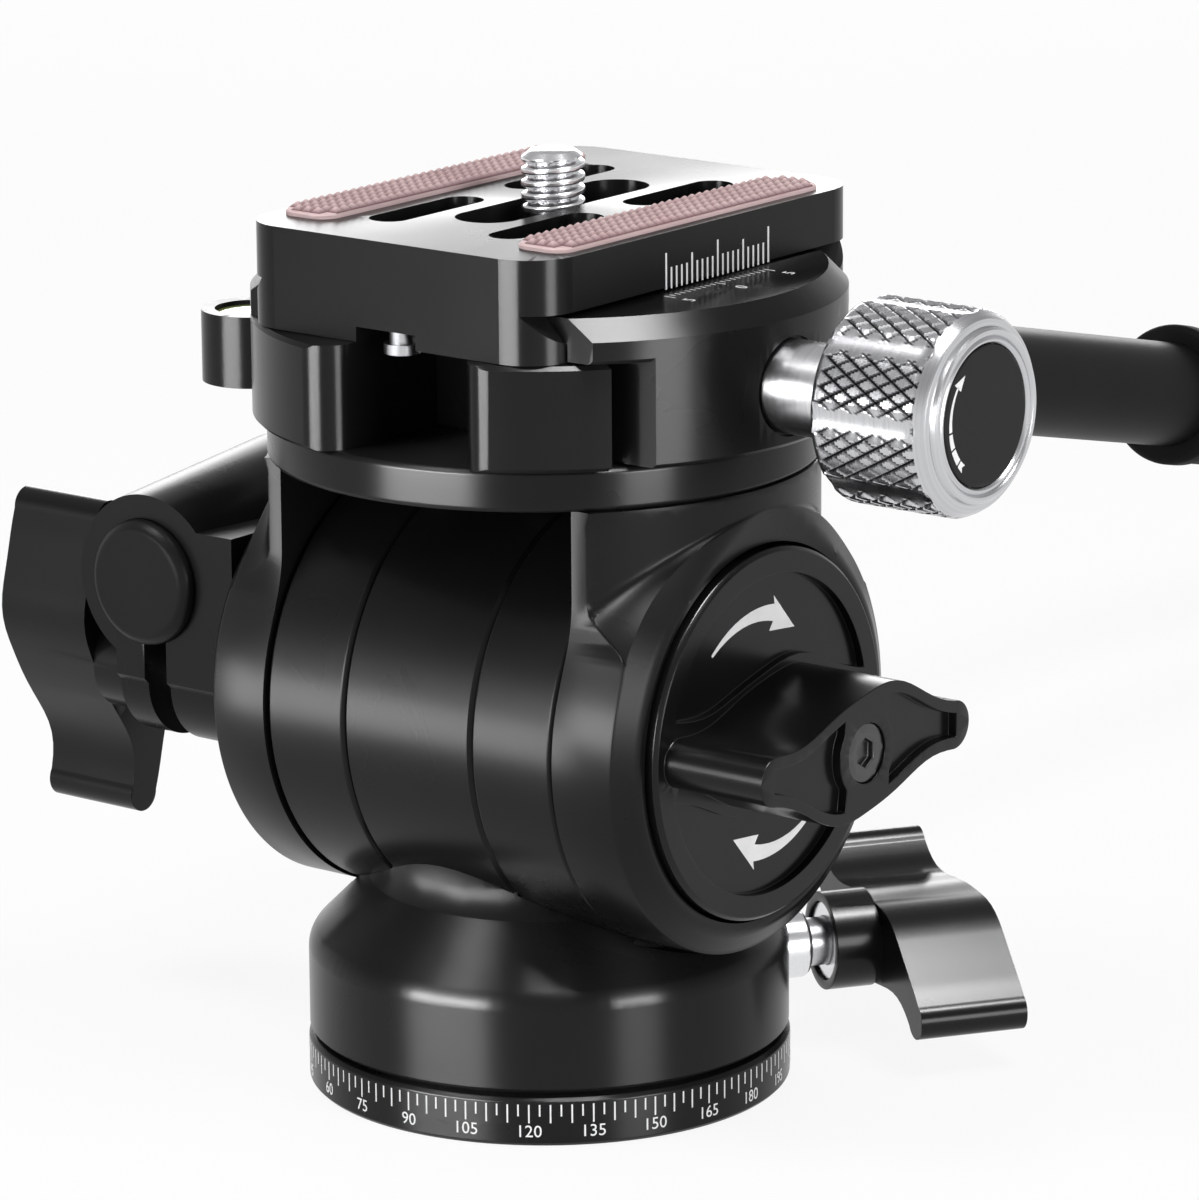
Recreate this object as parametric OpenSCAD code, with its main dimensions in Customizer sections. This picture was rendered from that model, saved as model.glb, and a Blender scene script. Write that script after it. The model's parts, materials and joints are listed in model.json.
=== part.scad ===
// Fluid video head: a pan base, a damped tilt drum in a yoke, a quick release clamp and a clamped pan handle.
// Origin at the centre of the base's underside, on the pan axis.
// +X is the tilt axis and +Y runs back along the handle.

/* [Pan base] */
// Radius of the scale ring on the base
base_r = 24.5; // [22:0.1:30]
// Height of the base disc
base_h = 5; // [4:0.1:8]
// Major diameter of the tripod thread
socket_d = 9.525; // [6.35:0.005:9.525]
// Depth of the tripod socket
socket_depth = 11; // [6:0.5:12]
// Radius of the hub where it turns in the retaining ring
hub_r = 12; // [11:0.1:13]
// Radius of the hub's flange, which the pan lock presses on
flange_r = 16; // [15:0.1:17]
// Thickness of the hub's flange
flange_h = 4.8; // [4.8:0.1:7]
// Thickness of the retaining ring under the flange
ring_h = 2.4; // [2.2:0.1:4]
// Gap that shows between the base and the skirt
pan_gap = 0.5; // [0.3:0.05:1]
// Thickness of a slip washer
slip_h = 0.3; // [0.2:0.05:0.6]

/* [Pan body] */
// Radius of the skirt
skirt_r = 24.4; // [23.5:0.1:30]
// Height of the skirt's straight wall
skirt_h = 9.45; // [8:0.05:11]
// Radius of the skirt's rounded shoulder
shoulder_r = 3; // [1:0.1:4]
// Radius of the neck under the drum
neck_r = 17; // [14:0.1:17.5]
// Radius of the eased corner from the cone to the neck
neck_fillet = 4; // [1:0.1:5]

/* [Tilt drum] */
// Height of the tilt axis
tilt_z = 40; // [39:0.1:48]
// Radius of the drum
drum_r = 22.3; // [20:0.1:22.4]
// Half the length of the drum with its caps
drum_half = 18; // [17:0.1:20]
// Half the length of the drum's middle, between the caps
drum_mid = 8; // [7:0.1:10]
// Radius of the damping chamber
chamber_r = 17; // [15:0.1:17.5]
// Radius of the tilt shaft
shaft_r = 6; // [5:0.1:7]
// Wall of a shaft bush
bush_wall = 2; // [1.5:0.1:2.5]
// Thickness of a damping plate
plate_t = 1.2; // [0.8:0.1:1.5]

/* [Yoke] */
// Gap between the drum's end and a cheek, filled by a slip washer
cheek_gap = 0.3; // [0.2:0.05:0.6]
// Radius of a cheek's disc
cheek_r = 22.5; // [21.5:0.1:23]
// Thickness of a cheek's disc at its rim
cheek_rim = 6.9; // [5:0.1:8]
// Thickness of the whole left cheek
left_cheek_t = 8.3; // [7.5:0.1:9]
// Thickness of the whole right cheek, to the mouth round the lock knob
right_cheek_t = 9; // [8:0.1:9.5]
// Half the width of a cheek's wall under the top disc
wall_half = 19.15; // [16:0.05:20]
// Radius of the top disc and of the cheeks' outer walls
disc_r = 27.6; // [27:0.1:30]
// Height of the top disc's underside above the tilt axis
disc_rise = 24.9; // [24.9:0.1:27]
// Thickness of the top disc
disc_h = 4.2; // [4:0.1:6]

/* [Tilt lock] */
// Radius of the lock knob's disc
lock_disc_r = 18.67; // [16:0.01:18.7]
// Gap round the lock knob's disc
lock_gap = 0.35; // [0.3:0.05:0.6]
// Thickness of the cheek behind the lock knob
lock_floor = 3.2; // [2.5:0.1:4]
// Distance from the cheek's mouth to the face of the lock knob's disc
lock_proud = 0.7; // [0:0.1:1.5]
// Height of the lock knob's wing over its disc
lock_wing_h = 11.6; // [8:0.1:14]
// Half the length of the lock knob's wing
lock_wing_half = 17.3; // [12:0.1:18]
// Depth of the two hollows in the lock knob's disc
lock_hollow = 0.9; // [0.4:0.1:1.5]
// Radius of the lock knob's thread on the shaft
lock_stud_r = 4; // [3:0.1:5]

/* [Wing screws] */
// Half the length of a wing screw's wing
wing_half = 17.1; // [12:0.1:20]
// Half the thickness of the wing at its middle
wing_mid = 4.9; // [4:0.1:6]
// Half the thickness of the wing near its tips
wing_tip = 1.95; // [1.5:0.05:3]
// Sideways bow of the wing's arms
wing_bow = 3; // [0:0.1:4]
// Depth of the wing along its axis
wing_depth = 11.5; // [8:0.1:14]
// Radius of the hub under the wing
wing_hub_r = 5.1; // [4.8:0.1:6]
// Length of the hub under the wing
wing_hub_h = 4.8; // [4:0.1:7]
// Direction of the pan lock, from +X towards +Y
pan_lock_az = 56; // [45:1:70]
// Turn of the pan lock's wing at rest
pan_wing_turn = 26; // [0:1:40]
// Radius of the pan lock's screw
pan_stud_r = 2.5; // [2:0.1:3]
// Radius of the pan lock's collar
pan_collar_r = 3.5; // [3.3:0.1:4.5]
// How far the collar stands out of the skirt
pan_collar_out = 3.1; // [2:0.1:5]
// Gap between the collar and the pan lock's hub
pan_hub_gap = 2; // [1:0.1:3]

/* [Handle] */
// Radius of the handle's tube
tube_r = 6.5; // [5:0.1:7]
// Wall of the handle's tube
tube_wall = 1.5; // [1:0.1:2.5]
// Sideways place of the handle's axis
handle_x = -38; // [-42:0.1:-37]
// Height of the handle's axis above the tilt axis
handle_rise = 9.2; // [8:0.1:12]
// Length of the straight tube from the bracket's face to the bend
tube_front = 120; // [90:1:160]
// Length of the tube from the bend to the grip
tube_rear = 59; // [20:1:90]
// Angle of the bend
bend_angle = 12.9; // [5:0.1:40]
// Radius of the bend
bend_r = 60; // [40:1:90]
// Roll of the bend below the level
bend_roll = 90; // [0:1:120]
// Radius of the grip
grip_r = 8.8; // [8:0.1:12]
// Length of the grip
grip_len = 95; // [60:1:140]
// How far the tube's end cap stands out of the bracket
cap_proud = 1.7; // [1:0.1:4]

/* [Handle bracket] */
// Y of the bracket's front face
bracket_y = -17.3; // [-19:0.1:-16]
// Length of the bracket along the handle
bracket_len = 23; // [20:0.5:26]
// Wall of the bracket's ring at the front
bracket_wall = 2.5; // [2:0.1:3.5]
// Growth of the bracket's radius towards the back
bracket_flare = 2.3; // [0:0.1:3]
// Width of the slit between the lugs
slit_w = 3; // [2:0.1:4]
// Drop from the handle's axis to the clamping screw
lug_drop = 11; // [10.6:0.1:13]
// Radius of the lugs round the clamping screw
lug_r = 6.6; // [6:0.1:8]
// Radius of the clamping screw
clamping_r = 3; // [2.5:0.1:3.2]

/* [Clamp] */
// Radius of the clamp
clamp_r = 29; // [28:0.1:32]
// Height of the clamp's body
clamp_h = 10.4; // [10:0.1:13]
// Height of the dovetail lips above the clamp's body
lip_h = 4.5; // [4:0.1:5]
// Half the length of a lip
lip_half = 20.5; // [18:0.1:22]
// Bevel on a lip's outer edge
lip_bevel = 2; // [0.5:0.1:2.5]
// Half the width of the jaw's block
jaw_half = 15.7; // [13:0.1:16]
// Gap on each side of the jaw's block
jaw_side_gap = 2.5; // [0.5:0.1:3]
// How far the jaw stands out when it grips the plate
jaw_out = 1.6; // [1:0.1:2.5]
// Opening travel of the jaw
jaw_travel = 3; // [1:0.1:3.5]
// Left edge of the channel for the plate's stop screws
channel_left = -4; // [-6:0.1:-3]
// Right edge of the channel for the plate's stop screws
channel_right = 9.8; // [5:0.1:11]
// Radius of the level's housing
level_r = 5.2; // [4.5:0.1:6]
// Height of the level's housing
level_h = 7.4; // [5:0.1:9]
// Distance of the level from the pan axis
level_out = 35; // [34.6:0.1:37]

/* [Clamp knob] */
// Radius of the clamp knob
knob_r = 10.2; // [8:0.1:11]
// Length of the clamp knob
knob_len = 14; // [10:0.1:18]
// Radius of the sleeve between the jaw and the knob
sleeve_r = 4.63; // [4.2:0.01:6]
// Length of the sleeve
sleeve_len = 9.4; // [6:0.1:14]
// Radius of the disc in the knob's end
end_disc_r = 6.83; // [5:0.01:7]
// Radius of the clamp's screw
clamp_stud_r = 3; // [2.5:0.1:3.5]
// Height of the clamp's screw above the clamp's underside
clamp_stud_rise = 6.2; // [5:0.1:6.5]

/* [Camera plate] */
// Width of the plate
plate_w = 38; // [36:0.1:40]
// Length of the plate
plate_len = 52.5; // [48:0.5:58]
// Y of the plate's middle at rest
plate_y = 1.75; // [0:0.05:3]
// Height of the plate
plate_h = 10.2; // [9.5:0.1:12]
// Thickness of the plate's upper flange
flange_t = 5.4; // [4:0.1:5.4]
// Depth of the dovetail groove
groove_d = 3; // [2:0.1:3.5]
// Radius of the plate's corners
corner_r = 3.5; // [3:0.1:6]
// Width of the slot for the camera screw
screw_slot_w = 6.8; // [6.7:0.1:8]
// Length of the slot for the camera screw
screw_slot_len = 27; // [20:0.5:30]
// Width of the four side slots
side_slot_w = 4.2; // [3:0.1:5]
// Length of the four side slots
side_slot_len = 15.5; // [10:0.5:16]
// Distance of the side slots' middles from the plate's middle, across
side_slot_x = 7.5; // [6.5:0.1:8]
// Distance of the side slots' middles from the plate's middle, along
side_slot_y = 10.6; // [9:0.1:12]
// Width of a rubber strip
strip_w = 6.2; // [4:0.1:6.5]
// Length of a rubber strip
strip_len = 42.5; // [30:0.5:46]
// Height of a rubber strip above the plate
strip_proud = 1; // [0.5:0.1:1.5]
// Depth of the groove that holds a rubber strip
strip_sunk = 0.7; // [0.4:0.1:1.5]
// Distance of a strip's middle line from the plate's side
strip_in = 4.4; // [4:0.1:5.5]
// Major diameter of the camera screw
screw_d = 6.35; // [6.35:0.005:6.5]
// Height of the camera screw above the plate
screw_out = 5.2; // [4.5:0.1:5.5]
// Radius of the camera screw's head
head_r = 7; // [5:0.1:7.2]
// Thickness of the camera screw's head
head_h = 2.4; // [1.5:0.1:2.8]
// Radius of a stop screw's head
stop_r = 1.8; // [1.5:0.1:2.2]
// How far a stop screw stands out under the plate
stop_out = 1; // [0.6:0.1:1.2]
// Sliding travel of the plate each way
plate_travel = 8; // [4:0.5:9]

/* [Fits] */
// Radial clearance of a pressed or screwed piece
press_gap = 0.02; // [0.01:0.01:0.05]
// Radial clearance of a turning or sliding fit
run_gap = 0.05; // [0.02:0.01:0.08]
// Clearance between faces that pass each other
free_gap = 0.3; // [0.2:0.05:0.5]
// Radius of a small machine screw
small_screw_r = 1.25; // [1:0.05:1.3]
// Radius of a machine screw
screw_r = 1.5; // [1.2:0.05:1.6]
// Edge break on machined corners
edge = 0.4; // [0.2:0.05:0.6]

/* [Hidden] */
$fn = 72;
far = 200;
eps = 0.01;
over = 1;

// Pan base heights
skirt_z = base_h + pan_gap;
ring_top = skirt_z + ring_h;
flange_z = ring_top + slip_h;
flange_top = flange_z + flange_h;
cavity_top = flange_top + slip_h;
lock_z = flange_z + flange_h / 2;
socket_wall = 1.75;
boss_r = socket_d / 2 + socket_wall;
ring_rim = 4.5;
ring_out_r = flange_r + ring_rim;
base_screw_pitch = (boss_r + hub_r) / 2;
base_screw_len = 1.6 * base_h;
ring_screw_in = 2.4;
ring_screw_pitch = flange_r + ring_screw_in;
ring_screw_head = 2;
base_screw_head = 2.4;

// Skirt, cone and neck: the cone rises at 45 degrees from the shoulder to the neck
shoulder_z = skirt_z + skirt_h;
neck_z = shoulder_z + skirt_r - neck_r;
tangent = tan(22.5);

// Drum stations along the tilt axis
cap_seat = 2;
cap_head_h = 2;
cap_screw_tip = 1;
seal_w = 1;
bush_r = shaft_r + bush_wall;
cap_screw_pitch = (chamber_r + drum_r) / 2;
cheek_x = drum_half + cheek_gap;
plate_pitch = 2 * (drum_mid - cap_seat) / 6;

// Yoke
left_face = -(cheek_x + left_cheek_t);
mouth_x = cheek_x + right_cheek_t;
floor_x = cheek_x + lock_floor;
disc_z = tilt_z + disc_rise;
disc_top = disc_z + disc_h;
recess_r = lock_disc_r + lock_gap;
mouth_lip = 0.35;
mouth_r = recess_r + mouth_lip;
sink_w = 5;
sink_h = 1;
cheek_bevel = 2;
shaft_floor = 2;
yoke_screw_in = 4.2;
yoke_screw_x = cheek_x + yoke_screw_in;
yoke_screw_y = 9;
yoke_screw_grip = 4;
yoke_screw_deep = disc_rise - cheek_r + yoke_screw_grip;
screw_head_r = 2.75;
screw_head_h = 2.2;

// Tilt lock
lock_washer_h = 0.5;
lock_back = floor_x + lock_washer_h + free_gap;
lock_face = mouth_x + lock_proud;
lock_top = lock_face + lock_wing_h;
insert_wall = 1.2;
insert_r = lock_stud_r + insert_wall;
lock_stud_out = 3;
stud_end = lock_face + lock_stud_out;
insert_end_wall = 2.5;
insert_end = stud_end + insert_end_wall;
lock_wing_mid = 6;
lock_wing_tip = 2.4;
lock_wing_bow = 0.8;
hollow_rim = 2.6;
hollow_mid = 6.7;
hollow_tip = 4;
hollow_bow = 1;
lock_screw_head_r = 3;
lock_screw_head_h = 1.8;

// Pan lock, measured outward from the pan axis
pan_pad_len = 3.9;
pan_collar_in = flange_r + pan_pad_len + free_gap;
pan_collar_end = skirt_r + pan_collar_out;
pan_hub_start = pan_collar_end + pan_hub_gap;
pan_wing_start = pan_hub_start + wing_hub_h;
pan_nut_wall = 1.6;
pan_nut_r = pan_stud_r + pan_nut_wall;
pan_nut_h = 1.8;
pan_nut_slot = 2;

// Handle and its bracket
handle_z = tilt_z + handle_rise;
bore_r = tube_r + run_gap;
bracket_r = tube_r + bracket_wall;
bracket_end = bracket_y + bracket_len;
lug_in = 0.6;
lug_y = bracket_y + lug_r + lug_in;
lug_z = handle_z - lug_drop;
lug_rear = 2;
lug_rear_rise = 3;
slit_off = 0.8;
slit_mid = handle_x + slit_off;
lug_t = 3.8;
lug_face = slit_mid - slit_w / 2 - lug_t;
clamping_floor = 2;
clamping_end = left_face - clamping_floor;
wing_hub_face = lug_face - free_gap;
wing_start = wing_hub_face - wing_hub_h;
wing_end = wing_start - wing_depth;
bend_y = bracket_y + tube_front;
cap_plug = 5;
grip_wall_end = 3;
grip_cap_h = 4;
grip_bevel = 1;
grip_cap_bevel = 1.5;
grip_cap_in = 4;
bracket_screw_r = 1.6;
bracket_screw_deep = 3.6;
bracket_screw_end = left_face - bracket_screw_deep;
pad_rise = 6;
pad_top = handle_z + pad_rise;
bracket_screw_at = [[-13, 7.5], [-6, 13], [2, 12]];

// Clamp
clamp_z = disc_top;
clamp_top = clamp_z + clamp_h;
lip_top = clamp_top + lip_h;
seat_x = 15.5;
jaw_gap = 1.5;
jaw_back = seat_x + jaw_gap;
jaw_top = clamp_top + free_gap;
stud_z = clamp_z + clamp_stud_rise;
sleeve_in = 0.6;
sleeve_seat = clamp_r + jaw_out - sleeve_in;
sleeve_end = sleeve_seat + sleeve_len;
knob_end = sleeve_end + knob_len;
knob_stud_end = sleeve_end + knob_len * 0.6;
knob_bevel = 1.2;
knob_rim = 1.7;
end_disc_sunk = 0.8;
end_disc_t = 0.5;
flute_r = 4;
flute_deep = 0.45;
pin_r = 2;
pin_y = 9.5;
pin_rise = 4.6;
pin_z = clamp_z + pin_rise;
pin_in = 9;
pin_hold = 4;
pin_out = jaw_travel + pin_hold;
level_az = 186.5;
level_drop = 0.7;
level_z = clamp_z - level_drop;
level_root = 4;
level_wall = 1.4;
vial_h = 4;
post_round = 3;
block_round = 1;
clamp_screw_at = [[-10, -9], [-10, 9], [2, -8], [2, 8]];

// Camera plate
plate_z = clamp_top + 2 * run_gap;
plate_top = plate_z + plate_h;
strip_x = plate_w / 2 - strip_in;
groove_top = plate_top - flange_t;
groove_low = groove_top - groove_d;
lip_foot = plate_w / 2 + 2 * run_gap;
screw_neck_in = 0.6;
screw_neck_r = screw_d / 2 - screw_neck_in;
head_lift = 1;
head_room = head_h + 2 * free_gap + head_lift;
head_slot_w = 1.2;
head_slot_deep = 1;
stop_in = 2.5;
stop_deep = 3;
stop_front = plate_y - plate_len / 2 + stop_in;
stop_back = plate_y + plate_len / 2 - stop_in;
channel_depth = clamp_r + stop_front + plate_travel + stop_r + free_gap;
notch_w = 7.4;
notch_h = 1.5;
notch_len = 5;

black = [0.11, 0.11, 0.12];
gloss_black = [0.07, 0.07, 0.08];
silver = [0.82, 0.83, 0.85];
steel = [0.70, 0.71, 0.73];
brass = [0.72, 0.58, 0.32];
rubber_pink = [0.62, 0.45, 0.45];
rubber_black = [0.06, 0.06, 0.06];
ptfe = [0.92, 0.92, 0.90];
glass_green = [0.72, 0.85, 0.55];

// A flat ring that lies on the XY plane
module washer(r_out, r_in, h) {
    difference() {
        cylinder(h = h, r = r_out);
        translate([0, 0, -eps]) cylinder(h = h + 2 * eps, r = r_in);
    }
}

// A rod along +X between two stations, on the tilt axis unless y and z say otherwise
module rod_x(x0, x1, r, y = 0, z = tilt_z) {
    translate([x0, y, z]) rotate([0, 90, 0]) cylinder(h = x1 - x0, r = r);
}

// A flat ring about an axis along X
module ring_x(x0, x1, r_out, r_in, y = 0, z = tilt_z) {
    translate([x0, y, z]) rotate([0, 90, 0]) washer(r_out, r_in, x1 - x0);
}

// Turns a profile of radius and station about the tilt axis
module turned_x() {
    translate([0, 0, tilt_z]) rotate([0, 90, 0]) rotate_extrude() children();
}

// Copies children evenly round the Z axis
module around_z(count, start = 0) {
    for (i = [0 : count - 1]) rotate([0, 0, start + i * 360 / count]) children();
}

// A machine screw that points up, with its head's underside at z = 0
module screw_up(r, length, head_radius, head_height) {
    cylinder(h = length, r = r);
    translate([0, 0, -head_height]) difference() {
        cylinder(h = head_height, r = head_radius);
        translate([0, 0, -eps]) cylinder(h = head_height / 2, r = r, $fn = 6);
    }
}

// The hole that a machine screw needs, open below its head for the given run
module screw_hole(r, length, head_radius, head_run) {
    cylinder(h = length + free_gap, r = r + press_gap);
    translate([0, 0, -head_run]) cylinder(h = head_run, r = head_radius + press_gap);
}

// Half thickness of a wing at t along it, from its middle to its tip
function wing_thick(t, mid, tip, span) = tip + (mid - tip) * exp(-pow(abs(t) / span, 3));

// Sideways place of a wing's middle line at t along it
function wing_line(t, bow, span) = bow * sin(180 * t / span);

// Outline of an S-shaped wing along X, with round tips
module wing_outline(half, mid, tip, thick_span, bow, bow_span) {
    end = half - tip;
    steps = 24;
    ts = [for (i = [0 : steps]) -end + 2 * end * i / steps];
    upper = [for (t = ts) [t, wing_line(t, bow, bow_span) + wing_thick(t, mid, tip, thick_span)]];
    lower = [for (t = ts) [-t, wing_line(-t, bow, bow_span) - wing_thick(t, mid, tip, thick_span)]];
    polygon(concat(upper, lower));
    for (s = [-1, 1]) translate([s * end, wing_line(s * end, bow, bow_span)])
        circle(r = wing_thick(end, mid, tip, thick_span));
}

// The wing screws share one outline
module wing_screw_outline(hand) {
    wing_outline(wing_half, wing_mid, wing_tip, wing_half / 2.1, hand * wing_bow, wing_half * 1.17);
}

// The pan lock's frame: local +Z runs outward along its screw
module at_pan_lock() {
    translate([0, 0, lock_z]) rotate([0, 0, pan_lock_az]) rotate([0, 90, 0]) children();
}

// The handle's frame after the bend: local +Y runs along the tube
module at_handle_rear() {
    translate([handle_x, bend_y, handle_z]) rotate([0, bend_roll, 0])
        translate([bend_r * (1 - cos(bend_angle)), bend_r * sin(bend_angle), 0])
            rotate([0, 0, -bend_angle]) children();
}

// A rod along local +Y
module rod_y(y0, y1, r) {
    translate([0, y0, 0]) rotate([-90, 0, 0]) cylinder(h = y1 - y0, r = r);
}

// Base, fixed to the tripod

module base_disc() {
    color(black) difference() {
        rotate_extrude() polygon([[0, 0], [base_r - edge, 0], [base_r, edge], [base_r, base_h - edge],
            [base_r - edge, base_h], [0, base_h]]);
        translate([0, 0, -eps]) cylinder(h = base_h + 2 * eps, r = boss_r + press_gap);
        around_z(4, 45) translate([base_screw_pitch, 0, base_h / 2])
            screw_hole(screw_r, base_h, base_screw_head, base_h);
    }
}

module pan_hub() {
    color(steel) difference() {
        union() {
            cylinder(h = base_h + eps, r = boss_r);
            translate([0, 0, base_h]) cylinder(h = flange_z - base_h + eps, r = hub_r);
            translate([0, 0, flange_z]) cylinder(h = flange_h, r = flange_r);
        }
        translate([0, 0, -eps]) cylinder(h = socket_depth + eps, r = socket_d / 2);
        around_z(4, 45) translate([base_screw_pitch, 0, base_h / 2])
            cylinder(h = base_screw_len + free_gap, r = screw_r + press_gap);
    }
}

module base_screws() {
    color(steel) around_z(4, 45) translate([base_screw_pitch, 0, base_h / 2])
        screw_up(screw_r, base_screw_len, base_screw_head, base_h / 2 - edge);
}

module pan_thrust_washer() {
    color(ptfe) translate([0, 0, base_h]) washer(ring_out_r, hub_r + press_gap, pan_gap);
}

module pan_slip_washer() {
    color(ptfe) translate([0, 0, ring_top]) washer(flange_r, hub_r + press_gap, slip_h);
}

module pan_top_washer() {
    color(ptfe) translate([0, 0, flange_top]) washer(flange_r - 1, hub_r / 2, slip_h);
}

// Panning body

// Half section of the skirt, its shoulder, the 45 degree cone and the eased corner up to the neck
module skirt_profile() {
    ease = tangent * neck_fillet;
    polygon([[0, skirt_z], [skirt_r - edge, skirt_z], [skirt_r, skirt_z + edge],
        [skirt_r, shoulder_z - tangent * shoulder_r],
        [skirt_r - tangent * shoulder_r * sqrt(0.5), shoulder_z + tangent * shoulder_r * sqrt(0.5)],
        [neck_r + ease * sqrt(0.5), neck_z - ease * sqrt(0.5)],
        [neck_r + neck_fillet * (1 - cos(22.5)), neck_z + ease - neck_fillet * sin(22.5)],
        [neck_r, neck_z + ease], [neck_r, tilt_z - drum_mid], [0, tilt_z - drum_mid]]);
    translate([skirt_r - shoulder_r, shoulder_z - tangent * shoulder_r]) circle(r = shoulder_r);
}

module pan_body() {
    color(black) difference() {
        union() {
            rotate_extrude() skirt_profile();
            turned_x() polygon([[0, -drum_mid], [drum_r - edge, -drum_mid], [drum_r, -drum_mid + edge],
                [drum_r, drum_mid - edge], [drum_r - edge, drum_mid], [0, drum_mid]]);
        }
        rod_x(-far, far, chamber_r);
        for (side = [0, 1]) mirror([side, 0, 0]) {
            rod_x(drum_mid, drum_half, drum_r + press_gap);
            rod_x(drum_half, far, cheek_r + pan_gap);
        }
        translate([0, 0, skirt_z - eps]) cylinder(h = ring_h + eps, r = ring_out_r + press_gap);
        translate([0, 0, skirt_z]) cylinder(h = cavity_top - skirt_z, r = flange_r + free_gap);
        around_z(4, pan_lock_az + 45) translate([ring_screw_pitch, 0, skirt_z])
            cylinder(h = flange_top - skirt_z, r = small_screw_r + press_gap);
        at_pan_lock() {
            cylinder(h = far, r = pan_stud_r + press_gap);
            translate([0, 0, pan_collar_in]) cylinder(h = far, r = pan_collar_r + press_gap);
        }
        cap_screw_copies() rod_x(-drum_mid - eps, drum_mid + eps, small_screw_r + press_gap, cap_screw_pitch);
    }
}

// Copies children round the tilt axis at the cap screws' places
module cap_screw_copies() {
    for (i = [0 : 5]) translate([0, 0, tilt_z]) rotate([i * 60, 0, 0]) translate([0, 0, -tilt_z]) children();
}

module pan_retaining_ring() {
    color(brass) difference() {
        translate([0, 0, skirt_z]) washer(ring_out_r, hub_r + run_gap, ring_h);
        around_z(4, pan_lock_az + 45) translate([ring_screw_pitch, 0, skirt_z + ring_h / 2])
            screw_hole(small_screw_r, ring_h, ring_screw_head, ring_h);
        at_pan_lock() translate([0, 0, pan_collar_in - free_gap])
            cylinder(h = far, r = pan_collar_r + press_gap);
    }
}

module ring_screws() {
    color(steel) around_z(4, pan_lock_az + 45) translate([ring_screw_pitch, 0, skirt_z + ring_h / 2])
        screw_up(small_screw_r, flange_top - skirt_z - ring_h / 2 - free_gap, ring_screw_head, ring_h / 2);
}

// Half section of the right drum cap: its disc, its spigot in the chamber, a seal groove and the bush's seat
module drum_cap_profile() {
    difference() {
        polygon([[bush_r + press_gap, drum_mid - cap_seat], [chamber_r - press_gap, drum_mid - cap_seat],
            [chamber_r - press_gap, drum_mid], [drum_r - edge, drum_mid], [drum_r, drum_mid + edge],
            [drum_r, drum_half - edge], [drum_r - edge, drum_half], [bush_r + press_gap, drum_half]]);
        translate([chamber_r - seal_w, drum_mid - (cap_seat + seal_w) / 2]) square([far, seal_w]);
    }
}

module drum_cap() {
    difference() {
        turned_x() drum_cap_profile();
        cap_screw_copies() {
            rod_x(0, drum_half - cap_head_h, small_screw_r + press_gap, cap_screw_pitch);
            rod_x(drum_half - cap_head_h, far, ring_screw_head + press_gap, cap_screw_pitch);
        }
    }
}

module drum_cap_left() {
    color(black) mirror([1, 0, 0]) drum_cap();
}

module drum_cap_right() {
    color(black) drum_cap();
}

module cap_screws() {
    color(steel) for (side = [0, 1]) mirror([side, 0, 0]) cap_screw_copies() {
        rod_x(cap_screw_tip, drum_half - cap_head_h + eps, small_screw_r, cap_screw_pitch);
        rod_x(drum_half - cap_head_h, drum_half - edge, ring_screw_head, cap_screw_pitch);
    }
}

module cap_seals() {
    color(rubber_black) for (side = [0, 1]) mirror([side, 0, 0])
        ring_x(drum_mid - (cap_seat + seal_w) / 2 + press_gap, drum_mid - (cap_seat - seal_w) / 2 - press_gap,
            chamber_r - press_gap, chamber_r - seal_w + press_gap);
}

module shaft_bushes() {
    color(brass) for (side = [0, 1]) mirror([side, 0, 0])
        ring_x(drum_mid, drum_half, bush_r, shaft_r + run_gap);
}

module shaft_seals() {
    color(rubber_black) for (side = [0, 1]) mirror([side, 0, 0])
        ring_x(drum_mid - cap_seat, drum_mid - free_gap, bush_r, shaft_r + run_gap);
}

module stator_plates() {
    color(steel) for (x = [-plate_pitch, plate_pitch])
        ring_x(x - plate_t / 2, x + plate_t / 2, chamber_r - press_gap, shaft_r + 1);
}

module pan_lock_collar() {
    color(silver) at_pan_lock() translate([0, 0, pan_collar_in])
        difference() {
            rotate_extrude() polygon([[0, 0], [pan_collar_r, 0],
                [pan_collar_r, pan_collar_end - pan_collar_in - edge],
                [pan_collar_r - edge, pan_collar_end - pan_collar_in], [0, pan_collar_end - pan_collar_in]]);
            translate([0, 0, -eps]) cylinder(h = far, r = pan_stud_r + run_gap);
        }
}

module pan_lock_pad() {
    color(brass) at_pan_lock() translate([0, 0, flange_r + run_gap])
        cylinder(h = pan_pad_len, r = pan_stud_r);
}

// Tilting yoke

module tilt_shaft() {
    color(steel) {
        rod_x(left_face + shaft_floor, floor_x, shaft_r);
        rod_x(floor_x - eps, stud_end, lock_stud_r);
    }
}

module rotor_plates() {
    color(steel) for (x = [-2 * plate_pitch, 0, 2 * plate_pitch])
        ring_x(x - plate_t / 2, x + plate_t / 2, chamber_r - 1, shaft_r + press_gap);
}

module tilt_washers() {
    color(ptfe) for (side = [0, 1]) mirror([side, 0, 0])
        ring_x(drum_half, cheek_x, chamber_r, shaft_r + press_gap);
}

// The upper wall of a cheek on the +X side, under the top disc
module cheek_wall() {
    intersection() {
        translate([0, 0, tilt_z]) cylinder(h = disc_rise, r = disc_r);
        translate([cheek_x, -wall_half, 0]) cube([far, 2 * wall_half, far]);
    }
}

// Screw holes that go down into a cheek from the top disc, on the +X side
module yoke_screw_copies() {
    for (s = [-1, 1]) translate([yoke_screw_x, s * yoke_screw_y, 0]) children();
}

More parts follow.
